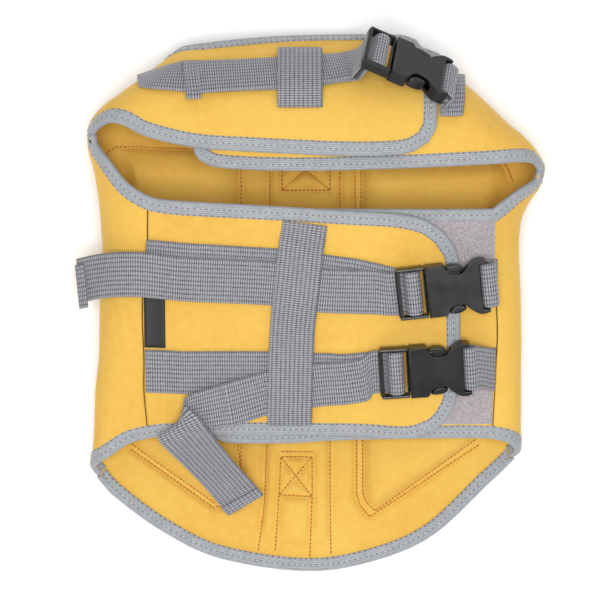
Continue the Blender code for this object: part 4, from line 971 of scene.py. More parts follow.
def back_sheet(low, neck, sides):
    """The back's grid of plan places over the underside, and its face laid on the ground."""
    bottom = patch(curve(low), curve(neck), *sides, even(BACK_COLS), even(BACK_ROWS))
    draw_in(bottom, ("low",), CLOTH_INSET, BACK_FOLLOW)
    draw_in(bottom, ("high",), CLOTH_INSET, BACK_FOLLOW)
    x, half, depth = SPINE_GROOVE
    laid = []
    for i, line in enumerate(bottom):
        near = 1 - float(ramp(min(i, BACK_ROWS - i) * BACK_LENGTH / BACK_ROWS, *EDGE_DOWN))
        made = []
        for b, y in line:
            point, _ = surface(y, -b - half_girth(y) / 2)
            point.z += floor_rise(point.z, near)
            beside = 1 - float(ramp(abs(point.x - x), WEB_WIDTH / 2 + GROOVE_END[0], half))
            beyond = max(BACK_STRAP_Y[0] - y, y - BACK_STRAP_Y[1], 0)
            point.z += max(depth - point.z, 0) * beside * (1 - float(ramp(beyond, *GROOVE_END)))
            made.append(point)
        laid.append(made)
    return bottom, laid


def roll_grid(side, ys, tail):
    """A side roll's grid of (girth from its fold, y), from the back's rows to its belly seam."""
    _, leg, seam = SIDE_ROLLS[side]
    under, top = side * SEAM_UNDER, len(ys) - 1
    seam_part = curve([(under, ys[top]), centred(leg[:1], side)[0]])
    edges = (curve(tail),
             joined(seam_part, curve(centred(leg, side)), ROLL_SEAM_SHARE),
             lambda t: np.array((under, np.interp(t * top, range(top + 1), ys))),
             curve(centred(seam, side)))
    across = even(ROLL_COLS)[:-1] + [1 - share for share in ROLL_CLOSE] + [1.0]
    grid = patch(*edges, across, even(top))
    held = [line[0].copy() for line in grid]
    draw_in(grid, ("low",), CLOTH_INSET, ROLL_FOLLOW)
    draw_in(grid, ("high",), CLOTH_INSET, ROLL_FOLLOW)
    draw_in(grid, ("end",), SEAM_GAP)
    for line, place in zip(grid, held):
        line[0] = place
    return grid


def side_roll(side, column, grid, points):
    """Adds a roll's points to the back's; its quads from the back's column, and its edges."""
    wide, base, top = len(grid[0]), len(points), len(grid) - 1
    for line in grid:
        for j, (c, y) in enumerate(line[1:], 1):
            point, normal = surface(y, c + half_girth(y) * (1 + side) / 2)
            from_end = wide - 1 - j
            turn = SEAM_ROUND[from_end] if from_end < len(SEAM_ROUND) else 0
            points.append(point + normal * (uneven_at(point, j, from_end, ROLL_CALM) - turn))
    rim = [base + j for j in range(wide - 1)]
    rim += [base + top * (wide - 1) + j for j in range(wide - 1)]
    rim += [base + i * (wide - 1) + wide - 2 for i in range(top + 1)]

    def index(i, j):
        """A point's number; the roll's first column is the back's own."""
        return i * (BACK_COLS + 1) + column if j == 0 else base + i * (wide - 1) + j - 1

    quads = [(index(i, j), index(i, j + 1), index(i + 1, j + 1), index(i + 1, j))
             for i in range(top) for j in range(wide - 1)]
    return quads if side == -1 else [q[::-1] for q in quads], [points[k] for k in rim]


def thicken(made, walls):
    """Gives a skin a wall behind it, as thick at each of its points as a list says."""
    group = made.vertex_groups.new(name="wall")
    for k, wall in enumerate(walls):
        group.add([k], float(wall / walls.max()), "REPLACE")
    modifier = made.modifiers.new("wall", "SOLIDIFY")
    modifier.thickness = float(walls.max()) * MM
    modifier.offset = -1
    modifier.use_even_offset = False
    modifier.vertex_group = "wall"


def back_panel():
    """The padded back: one wall from neck to tail, rolled up at both sides to the wings."""
    low = centred(TAIL_EDGE)
    for k, side in ((0, -1), (-1, 1)):
        low[k] = seam_place(low[k][1], side, -SEAM_UNDER)
    sides = (side_run(low[0][1], NECK_BACK_Y, -1, -1), side_run(low[-1][1], NECK_BACK_Y, 1, -1))
    neck = [sides[0](1), (0.0, NECK_BACK_Y - NECK_DIP), sides[1](1)]
    bottom, laid = back_sheet(low, neck, sides)
    points = [p for line in laid for p in line]
    faces = grid_faces(BACK_ROWS, BACK_COLS, 0, True)
    bound = laid[0] + laid[-1]
    for line in laid:
        bound += [p for p in (line[0], line[-1]) if p.y > min(CHEST_SEAM_Y.values())]
    tails, turns = {}, {}
    for side, column in ((-1, 0), (1, BACK_COLS)):
        ys = [line[column][1] for line in bottom]
        top = min(range(len(ys)), key=lambda i: abs(ys[i] - CHEST_SEAM_Y[side]))
        tails[side] = [(side * SEAM_UNDER, ys[0])] + centred(SIDE_ROLLS[side][0], side)
        turns[side] = ys[top]
        grid = roll_grid(side, ys[:top + 1], tails[side])
        quads, rim = side_roll(side, column, grid, points)
        faces += quads
        bound += rim
    made = mesh_piece("back_panel_foam", points, faces, "neoprene")
    thicken(made, back_walls(points, bound))
    done(made, "neoprene", "back_panel")
    return made, (low, neck, tails), turns


# ---- edge binding --------------------------------------------------------------------------


def walk(s, y, heading, distance):
    """The place a distance away from a place over the tube, along a heading in space."""
    _, normal, around, along = tangents(y, s)
    move = (heading - normal * heading.dot(normal)).normalized() * distance
    aa, bb, ab = around.dot(around), along.dot(along), around.dot(along)
    ma, mb = move.dot(around), move.dot(along)
    det = aa * bb - ab * ab
    return s + (ma * bb - mb * ab) / det, y + (mb * aa - ma * ab) / det


def measured(at, side, lift, run_back=False):
    """A run of places along an edge as (s, y), evenly spaced in space; side 2 is underneath."""
    fine = []
    for k in range(LINE_STEPS + 1):
        c, y = at(1 - k / LINE_STEPS if run_back else k / LINE_STEPS)
        half = half_girth(y)
        s = -c - half / 2 if side == 2 else c + half * (1 + side) / 2
        fine.append((s, y))
    points = [surface(y, s, lift(s - half_girth(y) / 2, y))[0] for s, y in fine]
    length = [0.0]
    for a, b in zip(points, points[1:]):
        length.append(length[-1] + (b - a).length)
    count = max(2, round(length[-1] / TAPE_STEP))
    marks = np.linspace(0, length[-1], count + 1)
    s, y = (np.interp(marks, length, [f[m] for f in fine]) for m in (0, 1))
    return list(zip(s, y))


def binding_runs(back_low, back_high, roll_tails):
    """The bound edge of the whole jacket, one closed run cut into its pieces."""
    def run(points, back=False, side=0, lift=no_lift):
        """One stretch of it, along an edge or back along it."""
        return measured(curve(points), side, lift, back)

    belly, under, left, right = outlines()
    leg = {side: centred(SIDE_ROLLS[side][1], side) for side in (-1, 1)}
    return (
        ("binding_chest_left", left_chest_lift, (
            run(left["high"], lift=left_chest_lift), run(left["end"], True, lift=left_chest_lift),
            run(left["low"], True, lift=left_chest_lift))),
        ("binding_belly_left", left_belly_lift, (
            run(leg[-1], side=-1), run(belly["high"], lift=left_belly_lift),
            run(belly["end"], True, lift=left_belly_lift),
            run(belly["low"], True, lift=left_belly_lift), run(roll_tails[-1], True, -1))),
        ("binding_tail", no_lift, (run(back_low, side=2),)),
        ("binding_belly_right", no_lift, (
            run(roll_tails[1], side=1), run(under["low"], True), run(under["end"]),
            run(under["high"]), run(leg[1], True, 1))),
        ("binding_chest_right", no_lift, (
            run(right["low"], True), run(right["end"]), run(right["high"]))),
        ("binding_neck", no_lift, (run(back_high, True, 2),)),
    )


def outlines():
    """The wings' edges over the tube: left and right belly, left and right chest."""
    made = [{key: centred(points) for key, points in outline.items()}
            for outline in (LEFT_BELLY, RIGHT_BELLY, LEFT_CHEST, RIGHT_CHEST)]
    made[2]["high"].insert(0, seam_place(NECK_BACK_Y + 1, -1))
    made[3]["high"].append(seam_place(NECK_BACK_Y, 1))
    return made


def tape_height(d, ripple):
    """Height of the binding's outer face over the cloth's middle, at a distance from its fold."""
    full = WALL / 2 + TAPE_CLEAR + TAPE_WALL
    if d < TAPE_NOSE:
        return full * math.sqrt(max(0.0, 1 - ((TAPE_NOSE - d) / TAPE_NOSE) ** 2))
    press = sum(depth * math.exp(-((d - row) / reach) ** 2) * (1 - share + share * ripple)
                for row, (depth, reach, share) in zip(STITCH_ROWS, STITCH_PRESS))
    end = TAPE_THIN[0] * float(ramp(d, TAPE_END - TAPE_THIN[1], TAPE_END))
    return full - press - end


def edge_binding(name, lift, samples, headings):
    """Edge tape folded over the cloth along a run of places, and where its stitches lie."""
    rails, marks = [], []
    turn = 2 * math.pi / STITCH_PITCH
    for k, (s, y) in enumerate(samples):
        tangent, inward = headings[k]
        ripple = math.cos(turn * (k * TAPE_STEP))
        steps, at, last = {}, (s, y), 0.0
        for d in TAPE_STEPS:
            at = walk(*at, inward, d - last) if d > last else at
            last = d
            point, normal = surface(at[1], at[0])
            rise = lift(at[0] - half_girth(at[1]) / 2, at[1])
            uneven = drift(point.x, point.y) * float(ramp(d, 2.0, TAPE_END)) * 0.5
            base = point + normal * (rise + uneven - WALL / 2)
            base.z += floor_rise(point.z)
            steps[d] = (base, normal)
        if k == 0 or k == len(samples) - 1:
            for d, (base, normal) in steps.items():
                steps[d] = (base + tangent * (TAPE_SHORT if k == 0 else -TAPE_SHORT), normal)
        outside = [(d, tape_height(d, ripple)) for d in TAPE_STEPS[:0:-1]]
        within = TAPE_CLEAR + WALL / 2
        inside = [(TAPE_END, within), (CLOTH_INSET, within * 0.9), (TAPE_FOLD, 0.0)]
        ring = outside + [(0.0, 0.0)] + [(d, -h) for d, h in outside[::-1]]
        ring += [(d, -h) for d, h in inside[:2]] + [inside[2]] + inside[1::-1]
        rails.append([steps[d][0] + steps[d][1] * h for d, h in ring])
        marks.append((steps, tangent))
    wide = len(rails[0])
    points = [p for line in rails for p in line]
    made = mesh_piece(name + "_tape", points, strip_faces(len(rails), wide, False), "tape")
    strip_uv(made, wide)
    TAPES.append((done(made, "tape", name), TAPE_STEP * (len(rails) - 1) * MM))
    return marks


def strip_uv(made, wide):
    """Millimetres along and round a tape as its UV map, from its points' order."""
    layer = made.data.uv_layers.new(name="strip")
    round_at = [0.0]
    verts = made.data.vertices
    for j in range(wide):
        a, b = verts[j].co, verts[(j + 1) % wide].co
        round_at.append(round_at[-1] + (b - a).length / MM)
    for face in made.data.polygons:
        if len(face.vertices) > 4:
            continue
        across = [v % wide for v in face.vertices]
        wrap = max(across) - min(across) > 1
        for loop, v, j in zip(face.loop_indices, face.vertices, across):
            layer.data[loop].uv = (v // wide * TAPE_STEP,
                                   round_at[wide if wrap and j == 0 else j])


def bind_all(back_low, back_high, roll_tails):
    """Every binding, with one continuous set of headings round the jacket's edge."""
    runs = binding_runs(back_low, back_high, roll_tails)
    loop, parts = [], []
    for name, lift, stretches in runs:
        samples = []
        for stretch in stretches:
            samples += stretch if not samples else stretch[1:]
        parts.append((name, lift, samples, len(loop)))
        loop += [(s, y, lift) for s, y in samples[:-1]]
    spots = [surface(y, s, lift(s - half_girth(y) / 2, y)) for s, y, lift in loop]
    count = len(loop)
    straight = [(spots[(k + 1) % count][0] - spots[k - 1][0]).normalized() for k in range(count)]
    headings = []
    for k in range(count):
        tangent = Vector((0, 0, 0))
        for n in range(-HEADING_SPAN, HEADING_SPAN + 1):
            tangent += straight[(k + n) % count] * (HEADING_SPAN + 1 - abs(n))
        normal = spots[k][1]
        tangent = (tangent - normal * tangent.dot(normal)).normalized()
        headings.append((tangent, tangent.cross(normal).normalized()))
    marks = {}
    for name, lift, samples, first in parts:
        own = [headings[(first + k) % count] for k in range(len(samples))]
        marks[name] = edge_binding(name, lift, samples, own)
    return marks


def binding_stitches(marks):
    """Where the two rows of stitching lie on both faces of each binding: needle holes, drawn as
    dark marks of painted shade, and grey threads between them.
    """
    holes, threads = [], []
    every = round(STITCH_PITCH / TAPE_STEP)
    for steps_list in marks.values():
        for k in range(1, len(steps_list) - 1, every):
            steps, tangent = steps_list[k]
            for row, d in enumerate(STITCH_ROWS):
                key = min(TAPE_STEPS, key=lambda at: abs(at - d))
                base, normal = steps[key]
                for face in (1, -1):
                    height = tape_height(key, 1.0) - HOLE_SUNK
                    spot = base + normal * face * height
                    holes.append((spot, normal * face, tangent))
                    if row == 1:
                        ahead = steps_list[k + 1][0][key][0]
                        threads.append((ahead + normal * face * (height + THREAD_PROUD),
                                        normal * face, tangent))
    return holes, threads


# ---- webbing -------------------------------------------------------------------------------


def wing_face(x, y, lift):
    """A point over the outermost wing at a plan place, and the normal there."""
    c = over(x, y) - half_girth(y) / 2
    rise = left_belly_lift(c, y) if y < CHEST_FROM_Y else left_chest_lift(c, y)
    point, normal = surface(y, over(x, y), rise + lift)
    return point + normal * drift(point.x, point.y), normal


def band(middles, normals, lifts=None):
    """Rails of a webbing band: edge, middle, edge; lifts bend the edges down onto the cloth."""
    rails = []
    for k, (middle, normal) in enumerate(zip(middles, normals)):
        ahead, behind = middles[min(k + 1, len(middles) - 1)], middles[max(k - 1, 0)]
        across = normal.cross(ahead - behind).normalized() * WEB_WIDTH / 2
        pair = [middle - across, middle + across]
        if lifts:
            for m in (0, 1):
                for _ in range(LAY_PASSES):
                    flat = pair[m] - normal * lifts[k]
                    if left_fold(flat.y) + LAY_CLEAR < flat.x < right_fold(flat.y) - LAY_CLEAR:
                        face, _ = wing_face(flat.x, flat.y, lifts[k])
                        pair[m] = pair[m] + normal * (face - pair[m]).dot(normal)
        rails.append((pair[0], middle, pair[1]))
    return rails


def laid_band(table, count):
    """Rails of a band that lies on the wings, along plan places with their lifts."""
    along = curve(table)
    rows = [along(k / count) for k in range(count + 1)]
    ends = [wing_face(x, y, lift) for x, y, lift in rows]
    return band([p for p, _ in ends], [n for _, n in ends], [row[2] for row in rows])


def at_lift(places, lift):
    """Plan places with one lift for all."""
    return [(x, y, lift) for x, y in places]


def spline(values, at):
    """A smooth curve through rows of numbers, at a share of its row count."""
    last = len(values) - 1
    i = min(int(at), last - 1)
    return between(values[max(i - 1, 0)], values[i], values[i + 1], values[min(i + 2, last)],
                   at - i)


def webbing(name, rails, *nodes, slant=0.0):
    """A woven strap along rails of edge, middle and edge: its wall, its bound edges, its weave.

    Its start is cut at a slant, each edge that far from square."""
    rows = [np.array([tuple(p) for p in line]) for line in rails]
    length = [0.0]
    for a, b in zip(rows, rows[1:]):
        length.append(length[-1] + float(np.linalg.norm(b[1] - a[1])))
    marks = np.linspace(0, length[-1], max(2, round(length[-1] / WEB_STEP)) + 1)
    shares = np.interp(marks, length, range(len(rows)))
    fine = [spline(rows, at) for at in shares]
    points = []
    sides = len(WEB_PROFILE)
    for k, line in enumerate(fine):
        tangent = fine[min(k + 1, len(fine) - 1)][1] - fine[max(k - 1, 0)][1]
        width = (line[2] - line[0]) / np.linalg.norm(line[2] - line[0])
        normal = np.cross(width, tangent)
        normal = normal / np.linalg.norm(normal)
        for across, height in WEB_PROFILE:
            t = across / WEB_WIDTH + 0.5
            place = (line[0] * (2 * t * t - 3 * t + 1) + line[1] * (4 * t - 4 * t * t)
                     + line[2] * (2 * t * t - t))
            shift = slant * across / (WEB_WIDTH / 2) * max(0.0, 1 - marks[k] / SLANT_FADE)
            points.append(place + normal * height + tangent / np.linalg.norm(tangent) * shift)
    made = mesh_piece(name, points, strip_faces(len(fine), sides, True), "webbing")
    face_out(made)
    web_uv(made, sides, marks)
    done(made, "webbing", *nodes)
    STRAPS.append((made, length[-1] * MM))


def hem(name, rails, along, aside, above):
    """The folded end of a strap: its last length again, beside it and above or under it."""
    rows = [[Vector(p) for p in line] for line in rails]
    run, kept = 0.0, []
    for k in range(len(rows) - 1, 0, -1):
        ahead = rows[k][1] - rows[k - 1][1]
        width = (rows[k][2] - rows[k][0]).normalized()
        normal = width.cross(ahead).normalized()
        part = min(ahead.length, along - run)
        back = ahead.normalized() * part
        shift = width * aside + normal * above
        if not kept:
            kept.append([p + shift for p in rows[k]])
        kept.append([p - back + shift for p in rows[k]])
        run += part
        if run >= along - 0.01:
            break
    webbing(name, kept[::-1])


def face_out(made):
    """Turns a closed piece's faces outward."""
    form = bmesh.new()
    form.from_mesh(made.data)
    bmesh.ops.recalc_face_normals(form, faces=form.faces)
    form.to_mesh(made.data)
    form.free()


def web_uv(made, sides, marks):
    """Millimetres along and across a strap as its UV map."""
    layer = made.data.uv_layers.new(name="strip")
    for face in made.data.polygons:
        for loop, v in zip(face.loop_indices, face.vertices):
            layer.data[loop].uv = (marks[v // sides], WEB_PROFILE[v % sides][0])


def buckle_frame(name):
    """A matrix with x from the ladder to the body and z off the cloth, at the ladder's end."""
    _, place, heading, roll = BUCKLES[name]
    turn, lean = math.radians(heading), Matrix.Rotation(math.radians(roll), 4, "X")
    if name == "chest":
        climb, height = CHEST_BUCKLE
        tilt = Matrix.Rotation(turn, 4, "Z") @ Matrix.Rotation(math.radians(-climb), 4, "Y")
        return Matrix.Translation((*place, height)) @ tilt @ lean
    point, normal = wing_face(*place, BUCKLE_DROP)
    along = Vector((math.cos(turn), math.sin(turn), 0))
    along = (along - along.dot(normal) * normal).normalized()
    across = normal.cross(along)
    level = Matrix((along, across, normal)).transposed().to_4x4()
    return Matrix.Translation(point) @ level @ lean


def through_ladder(frame_at, run):
    """Rails of a strap up through a ladder's inner slot, over its bar and back out."""
    half = WEB_WIDTH / 2
    return [tuple(frame_at @ Vector((x, y, z)) for y in (-half, 0, half)) for x, z in run]


def tucked(rails, run, low, high):
    """A strap's rails with its start's edges turned in by shares of its width, over a run."""
    start, made = rails[0][1], []
    for below, middle, above in rails:
        rest = max(0.0, 1 - (middle - start).length / run)
        across = above - below
        made.append((below + across * low * rest, middle + across * (low - high) / 2 * rest,
                     above - across * high * rest))
    return made


def swapped(rails):
    """A strap's rails, each edge on the other side."""
    return [line[::-1] for line in rails]


def upper_end():
    """Rails of the upper strap's free end, which hangs over the left fold."""
    return swapped(band([Vector(row[:3]) for row in UPPER_END],
                        [Vector((row[3], 0, 1)).normalized() for row in UPPER_END]))


def lower_end():
    """Rails of the lower strap's free end, folded over itself."""
    upper, lower = curve([row[:3] for row in LOWER_END]), curve([row[3:] for row in LOWER_END])
    pairs = [(Vector(lower(t)), Vector(upper(t))) for t in even(FOLD_ROWS)]
    return [(low, (low + high) / 2, high) for low, high in pairs]


def straps(frames):
    """Each adjustable strap: from its seam through its ladder and back on itself."""
    ends = {"upper": upper_end(), "lower": lower_end(), "chest": []}
    for name, (base_run, tail_run, ease, run) in STRAP_RUNS.items():
        base = laid_band(at_lift(base_run, BASE_LIFT + ease), BASE_ROWS)
        tail = swapped(laid_band(at_lift(tail_run, TAIL_LIFT + ease), TAIL_ROWS[name]))
        tail, slant = tail + ends[name], 0.0
        if name == "chest":
            base, slant = tucked(base, *CHEST_TUCK), CHEST_SLANT
        webbing("strap_%s_web" % name, base + through_ladder(frames[name], run) + tail,
                "strap_" + name, slant=slant)
        hem("strap_%s_hem_web" % name, ends["lower"] if name == "lower" else tail, *HEMS[name])


def keepers():
    """The upright strap that holds both belly straps down, and the chest strap's keeper."""
    for name, table, count in KEEPERS:
        webbing(name + "_web", laid_band(table, count), name)


def anchors(frames):
    """Short straps sewn by the right fold and looped round the bar of each buckle's body."""
    half = WEB_WIDTH / 2
    for name, place in frames.items():
        (x, y), layers = BUCKLES[name][0], 1
        if name == "chest":
            x, layers = CHEST_SEWN
            xs, ys = CHEST_END
            webbing("anchor_chest_hem_web", [tuple(wing_face(at, to, BASE_LIFT)[0] for to in ys)
                                             for at in np.linspace(*xs, END_ROWS)])
        sewn, normal = surface(y, over(x, y), BASE_LIFT * layers)
        loop = [place @ Vector((u, 0, w)) for u, w in ANCHOR_LOOP]
        rise, inward = ANCHOR_START[name == "chest"]
        run = [sewn, sewn + normal * rise - Vector((inward, 0, 0))] + loop
        along = curve([tuple(p) for p in run])
        across = place.to_3x3() @ Vector((0, 1, 0))
        flat = normal.cross(Vector((1, 0, 0))).normalized()
        rails = []
        for k, t in enumerate(even(ANCHOR_ROWS[0])):
            middle = Vector(along(t))
            turn = float(ramp(k, 0, ANCHOR_ROWS[1]))
            side = (across * turn + flat * (1 - turn)).normalized() * half
            rails.append((middle - side, middle, middle + side))
        webbing("anchor_%s_web" % name, rails, "anchor_" + name)


def back_strap():
    """The handle webbing along the spine, flush with the underside."""
    x, z = SPINE_GROOVE[0], WEB_WALL / 2
    ys = np.linspace(*BACK_STRAP_Y, BACK_STRAP_ROWS)
    half = WEB_WIDTH / 2
    webbing("strap_back_web", [[Vector((x + across, y, z)) for across in (-half, 0, half)]
                               for y in ys], "strap_back")


def flat_piece(name, x_range, y_range, lift, wall, finish, size, cad_node):
    """A thin piece sewn on a wing over a rectangle of plan places; lift(x, y) is its face's."""
    rows, cols = size
    outer, inner = [], []
    for i, y in enumerate(np.linspace(*y_range, rows + 1)):
        up, down = [], []
        for j, x in enumerate(np.linspace(*x_range, cols + 1)):
            point, normal = surface(y, over(x, y), lift(x, y))
            point = point + normal * drift(point.x, point.y)
            edge = min(i, rows - i, j, cols - j)
            up.append(point - normal * (wall * 0.35 if edge == 0 else 0))
            down.append(point - normal * wall)
        outer.append(up)
        inner.append(down)
    made = done(closed_shell(name, outer, inner, finish, False), finish, cad_node)
    CUTS.append((made, x_range[1] - x_range[0], y_range[1] - y_range[0], 1.0))


def patches_and_label():
    """Loop tape on the right wing, and a bare woven label in the left seam."""
    for name, low, high in PATCHES:
        flat_piece("loop_" + name, PATCH_X, (low, high), lambda x, y: PATCH_LIFT + PATCH_WALL,
                   PATCH_WALL, "loop", PATCH_GRID, "loop_patch_" + name)
    x0, x1, y0, y1 = LABEL_PLACE

    def label_lift(x, y):
        """The left belly wing's rise, and the label's own."""
        return left_belly_lift(over(x, y) - half_girth(y) / 2, y) + LABEL_LIFT + LABEL_WALL

    flat_piece("side_label", (x0, x1), (y0, y1), label_lift, LABEL_WALL, "label", LABEL_GRID,
               "label")


# ---- buckles -------------------------------------------------------------------------------


def prism(name, outline, low, high):
    """A plate from its outline in a buckle's own frame, between two heights."""
    mesh = bpy.data.meshes.new(name)
    form = bmesh.new()
    base = [form.verts.new((x * MM, y * MM, low * MM)) for x, y in outline]
    face = form.faces.new(base)
    made = bmesh.ops.extrude_face_region(form, geom=[face])
    top = [g for g in made["geom"] if isinstance(g, bmesh.types.BMVert)]
    bmesh.ops.translate(form, verts=top, vec=(0, 0, (high - low) * MM))
    bmesh.ops.recalc_face_normals(form, faces=form.faces)
    form.to_mesh(mesh)
    form.free()
    return placed(name, mesh)


def block(name, xs, ys, zs):
    """A box between x, y and z places."""
    return prism(name, [(xs[0], ys[0]), (xs[1], ys[0]), (xs[1], ys[1]), (xs[0], ys[1])], *zs)


def rounded(made, width, segments, angle=35):
    """Rounds a piece's edges that are sharper than an angle in degrees."""
    modifier = made.modifiers.new("edges", "BEVEL")
    modifier.width = width * MM
    modifier.segments = segments
    modifier.limit_method = "ANGLE"
    modifier.angle_limit = math.radians(angle)
    return made


def combine(made, tool, operation):
    """Adds or cuts a shape in the same frame, and takes the shape away."""
    modifier = made.modifiers.new("join", "BOOLEAN")
    modifier.object = tool
    modifier.operation = operation
    modifier.solver = "EXACT"
    settle(made)
    bpy.data.objects.remove(tool)


def mirrored(half):
    """A closed outline from its half with y above 0, listed from x low to x high."""
    return half + [(x, -y) for x, y in half[::-1] if y]


def moulded(made, place, node):
    """Softens a buckle half's cut edges, evens its shading and sets it in place."""
    settle(rounded(made, *LAST_ROUND))
    made.data.transform(place)
    made.data.materials.clear()
    made.data.materials.append(FINISHES["acetal"])
    made.data.shade_smooth()
    made.data.set_sharp_from_angle(angle=math.radians(SHARP_ANGLE))
    made.modifiers.new("shading", "WEIGHTED_NORMAL").keep_sharp = True
    done(made, "acetal", node)


def buckle(name, frame_at):
    """A side-release buckle: the ladder with its prongs, and the body that they lock into."""
    shift = Matrix.Translation((-ORIGIN[0], -ORIGIN[1], 0)) @ frame_at
    place = Matrix.Translation(shift.translation * MM) @ shift.to_3x3().to_4x4()

    male = rounded(prism("buckle_%s_ladder" % name, mirrored(LADDER_HALF), *LADDER_Z),
                   *PLATE_ROUND)
    settle(male)
    for xs in LADDER_SLOTS:
        combine(male, rounded(block("cut", xs, SLOT_Y, SLOT_Z), *SLOT_ROUND), "DIFFERENCE")
    combine(male, block("cut", *BAR_TOP), "DIFFERENCE")
    for box in PRONGS + LADDER_RAILS:
        combine(male, rounded(block("prong", *box), *PRONG_ROUND), "UNION")
    for side in (-1, 1):
        pad = [(x, y * side) for x, y in PAD][::side]
        combine(male, rounded(prism("pad", pad, *PAD_Z), *MOULD_ROUND), "UNION")
    moulded(male, place, "buckle_%s_male" % name)

    female = rounded(prism("buckle_%s_body" % name, mirrored(BODY_HALF), *BODY_Z), *BODY_ROUND)
    settle(female)
    collar = prism("collar", mirrored(COLLAR_HALF), *COLLAR_Z)
    combine(female, rounded(collar, *MOULD_ROUND), "UNION")
    combine(female, block("cut", *BODY_MOUTH), "DIFFERENCE")
    combine(female, rounded(block("bar", *BODY_BAR), *MOULD_ROUND), "UNION")
    moulded(female, place, "buckle_%s_female" % name)


# ---- stitching -----------------------------------------------------------------------------

DROP_FROM, INSIDE_TOP = 120.0, 26.0     # heights over the jacket and over its padded floor
UPWARD, THREAD_SUNK, PAST_FACE = 0.3, 0.05, 0.1
# The hole marks are spots of painted shade; the quilting thread is drawn wide and dark so that it
# also carries the painted shade of its groove.
HOLE_SIZE, THREAD_SIZE, QUILT_SIZE = (1.4, 0.8), (1.9, 0.5), (2.2, 1.1)   # length and width


def stitch_tree(finish, length, width):
    """Geometry Nodes that lay a short thread on every point, turned as the point says."""
    tree = bpy.data.node_groups.new("stitches_" + finish, "GeometryNodeTree")
    tree.interface.new_socket("Geometry", in_out="INPUT", socket_type="NodeSocketGeometry")
    tree.interface.new_socket("Geometry", in_out="OUTPUT", socket_type="NodeSocketGeometry")
    for name, value in (("Length", length), ("Width", width)):
        socket = tree.interface.new_socket(name, in_out="INPUT", socket_type="NodeSocketFloat")
        socket.default_value = value
    source, sink = node(tree, "NodeGroupInput"), node(tree, "NodeGroupOutput")
    thread = node(tree, "GeometryNodeMeshUVSphere", {"Segments": 6, "Rings": 5, "Radius": 0.5})
    shape = node(tree, "ShaderNodeCombineXYZ", links={
        "X": source.outputs["Length"], "Y": source.outputs["Width"],
        "Z": source.outputs["Width"]})
    turn = node(tree, "GeometryNodeInputNamedAttribute", {"data_type": "FLOAT_VECTOR",
                                                          "Name": "turn"})
    laid = node(tree, "GeometryNodeInstanceOnPoints", links={
        "Points": source.outputs["Geometry"], "Instance": thread.outputs["Mesh"],
        "Rotation": turn.outputs["Attribute"], "Scale": shape.outputs[0]})
    real = node(tree, "GeometryNodeRealizeInstances", links={"Geometry": laid.outputs[0]})
    smooth = node(tree, "GeometryNodeSetShadeSmooth", links={"Geometry": real.outputs[0]})
    dyed = node(tree, "GeometryNodeSetMaterial", links={"Geometry": smooth.outputs[0]})
    dyed.inputs["Material"].default_value = FINISHES[finish]
    tree.links.new(dyed.outputs[0], sink.inputs["Geometry"])
    return tree


def stitches(name, spots, finish, length, width):
    """One mesh of stitches at (place, normal, direction) in millimetres."""
    mesh = bpy.data.meshes.new(name)
    place = (np.array([tuple(p) for p, _, _ in spots]) - (*ORIGIN, 0)) * MM
    mesh.from_pydata(place.tolist(), [], [])
    turns = mesh.attributes.new("turn", "FLOAT_VECTOR", "POINT")
    for k, (_, normal, along) in enumerate(spots):
        x = (along - normal * along.dot(normal)).normalized()
        y = normal.cross(x)
        turns.data[k].vector = tuple(Matrix((x, y, normal)).transposed().to_euler())
    made = placed(name, mesh)
    modifier = made.modifiers.new("stitches", "NODES")
    tree = stitch_tree(finish, length * MM, width * MM)
    modifier.node_group = tree
    sizes = {"Length": length * MM, "Width": width * MM}
    for item in tree.interface.items_tree:
        if item.in_out == "INPUT" and item.name in sizes:
            modifier[item.identifier] = sizes[item.name]
    done(made, "neoprene" if finish == "ochre_thread_and_groove_shade" else "tape")


def along_path(path, pitch):
    """Places and directions every pitch along a plan path."""
    spots = []
    for a, b in zip(path, path[1:]):
        a, b = Vector((*a, 0)), Vector((*b, 0))
        count = max(1, round((b - a).length / pitch))
        spots += [(a.lerp(b, (k + 0.5) / count), (b - a).normalized()) for k in range(count)]
    return spots


def on_mesh(made, spots):
    """Drops plan places onto a mesh's first upward face under the height of its inside."""
    found = []
    for place, along in spots:
        start = Vector((place.x - ORIGIN[0], place.y - ORIGIN[1], DROP_FROM)) * MM
        while True:
            hit, where, normal, _ = made.ray_cast(start, (0, 0, -1))
            if not hit:
                break
            if normal.z > UPWARD and where.z < INSIDE_TOP * MM:
                point = where / MM + Vector((*ORIGIN, 0))
                found.append((point - normal * THREAD_SUNK, normal.copy(), along))
                break
            start = where - Vector((0, 0, PAST_FACE * MM))
    return found


# ---- the jacket ----------------------------------------------------------------------------

back, edges, turns = back_panel()

belly, under, chest, under_chest = outlines()
for outline in (under, under_chest):
    outline["low"], outline["high"] = outline["low"][::-1], outline["high"][::-1]
wing("wing_belly_left", belly, belly_seam(-1), left_belly_lift, BELLY_GRID)
wing("wing_belly_right", under, belly_seam(1), no_lift, BELLY_GRID)
wing("wing_chest_left", chest, side_run(turns[-1], chest["high"][0][1], -1), left_chest_lift,
     CHEST_GRID, CHEST_SEAM_SHARE)
wing("wing_chest_right", under_chest, side_run(turns[1], under_chest["high"][0][1], 1), no_lift,
     CHEST_GRID, CHEST_SEAM_SHARE)

marks = bind_all(*edges)
patches_and_label()
frames = {name: buckle_frame(name) for name in BUCKLES}
straps(frames)
keepers()
anchors(frames)
back_strap()
for name, place in frames.items():
    buckle(name, place)

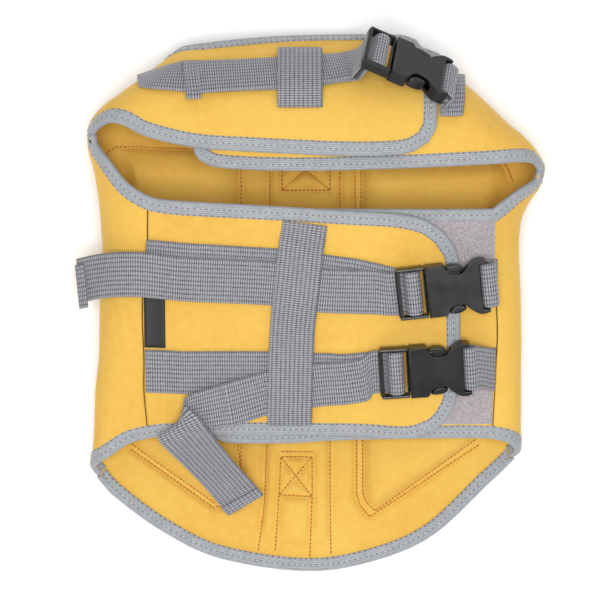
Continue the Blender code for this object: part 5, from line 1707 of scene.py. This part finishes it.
holes, threads = binding_stitches(marks)
# The needle holes are dark marks of painted shade; the grey threads lie between them.
stitches("binding_needle_hole_shade", holes, "needle_hole_shade", *HOLE_SIZE)
stitches("binding_stitches", threads, "thread_grey", *THREAD_SIZE)
quilting = []
for path in QUILTING:
    quilting += along_path(path, QUILT_PITCH)
# The quilting thread is real, drawn wide and dark so that it also paints the shade in its seam
# grooves.
stitches("back_quilting", on_mesh(back, quilting), "ochre_thread_and_groove_shade", *QUILT_SIZE)

# ---- stage, light and camera ---------------------------------------------------------------

# Metres: half the floor's width, how far it lies under the jacket, where the lamps point
FLOOR_HALF, FLOOR_DROP, LIGHT_AIM = 3.0, 0.0005, Vector((0, 0, 0.03))
LIGHTS = (                  # name, place and size in metres, and watts
    ("overhead", (0.0, -0.15, 1.9), 0.9, 30.5),
    ("tail_side", (-0.4, -1.7, 1.0), 0.9, 7.0),
    ("neck_side", (0.5, 1.5, 1.1), 1.2, 4.0),
)
DAYLIGHT, FAR = 0.5, 10.0   # strength from all round, and the end of the camera's view
floor_mesh = bpy.data.meshes.new("floor")
corners = ((-1, -1), (1, -1), (1, 1), (-1, 1))
floor_mesh.from_pydata([(x * FLOOR_HALF, y * FLOOR_HALF, 0) for x, y in corners], [],
                       [(0, 1, 2, 3)])
floor = placed("floor", floor_mesh)
floor_mesh.materials.append(finish_named("pale_floor", "#f4f4f4", 0.9)[0])
floor.location.z = -FLOOR_DROP


def soft_light(name, place, size, power):
    """A square lamp at a place, turned to the jacket."""
    data = bpy.data.lights.new(name, "AREA")
    data.shape, data.size, data.energy = "SQUARE", size, power
    lamp = placed(name, data)
    lamp.location = place
    lamp.rotation_euler = (LIGHT_AIM - Vector(place)).to_track_quat("-Z", "Y").to_euler()


for light in LIGHTS:
    soft_light(*light)
scene = bpy.context.scene
world = bpy.data.worlds.new("studio")
scene.world = world
world.use_nodes = True
world.node_tree.nodes["Background"].inputs["Color"].default_value = (1, 1, 1, 1)
world.node_tree.nodes["Background"].inputs["Strength"].default_value = DAYLIGHT
scene.view_settings.view_transform = "Standard"

camera = placed("camera", bpy.data.cameras.new("camera"))
camera.data.lens = camera.data.sensor_width * CAMERA_HEIGHT / FRAME_WIDTH
camera.location = (-ORIGIN[0] * MM, -ORIGIN[1] * MM, CAMERA_HEIGHT)
camera.data.clip_end = FAR
scene.camera = camera
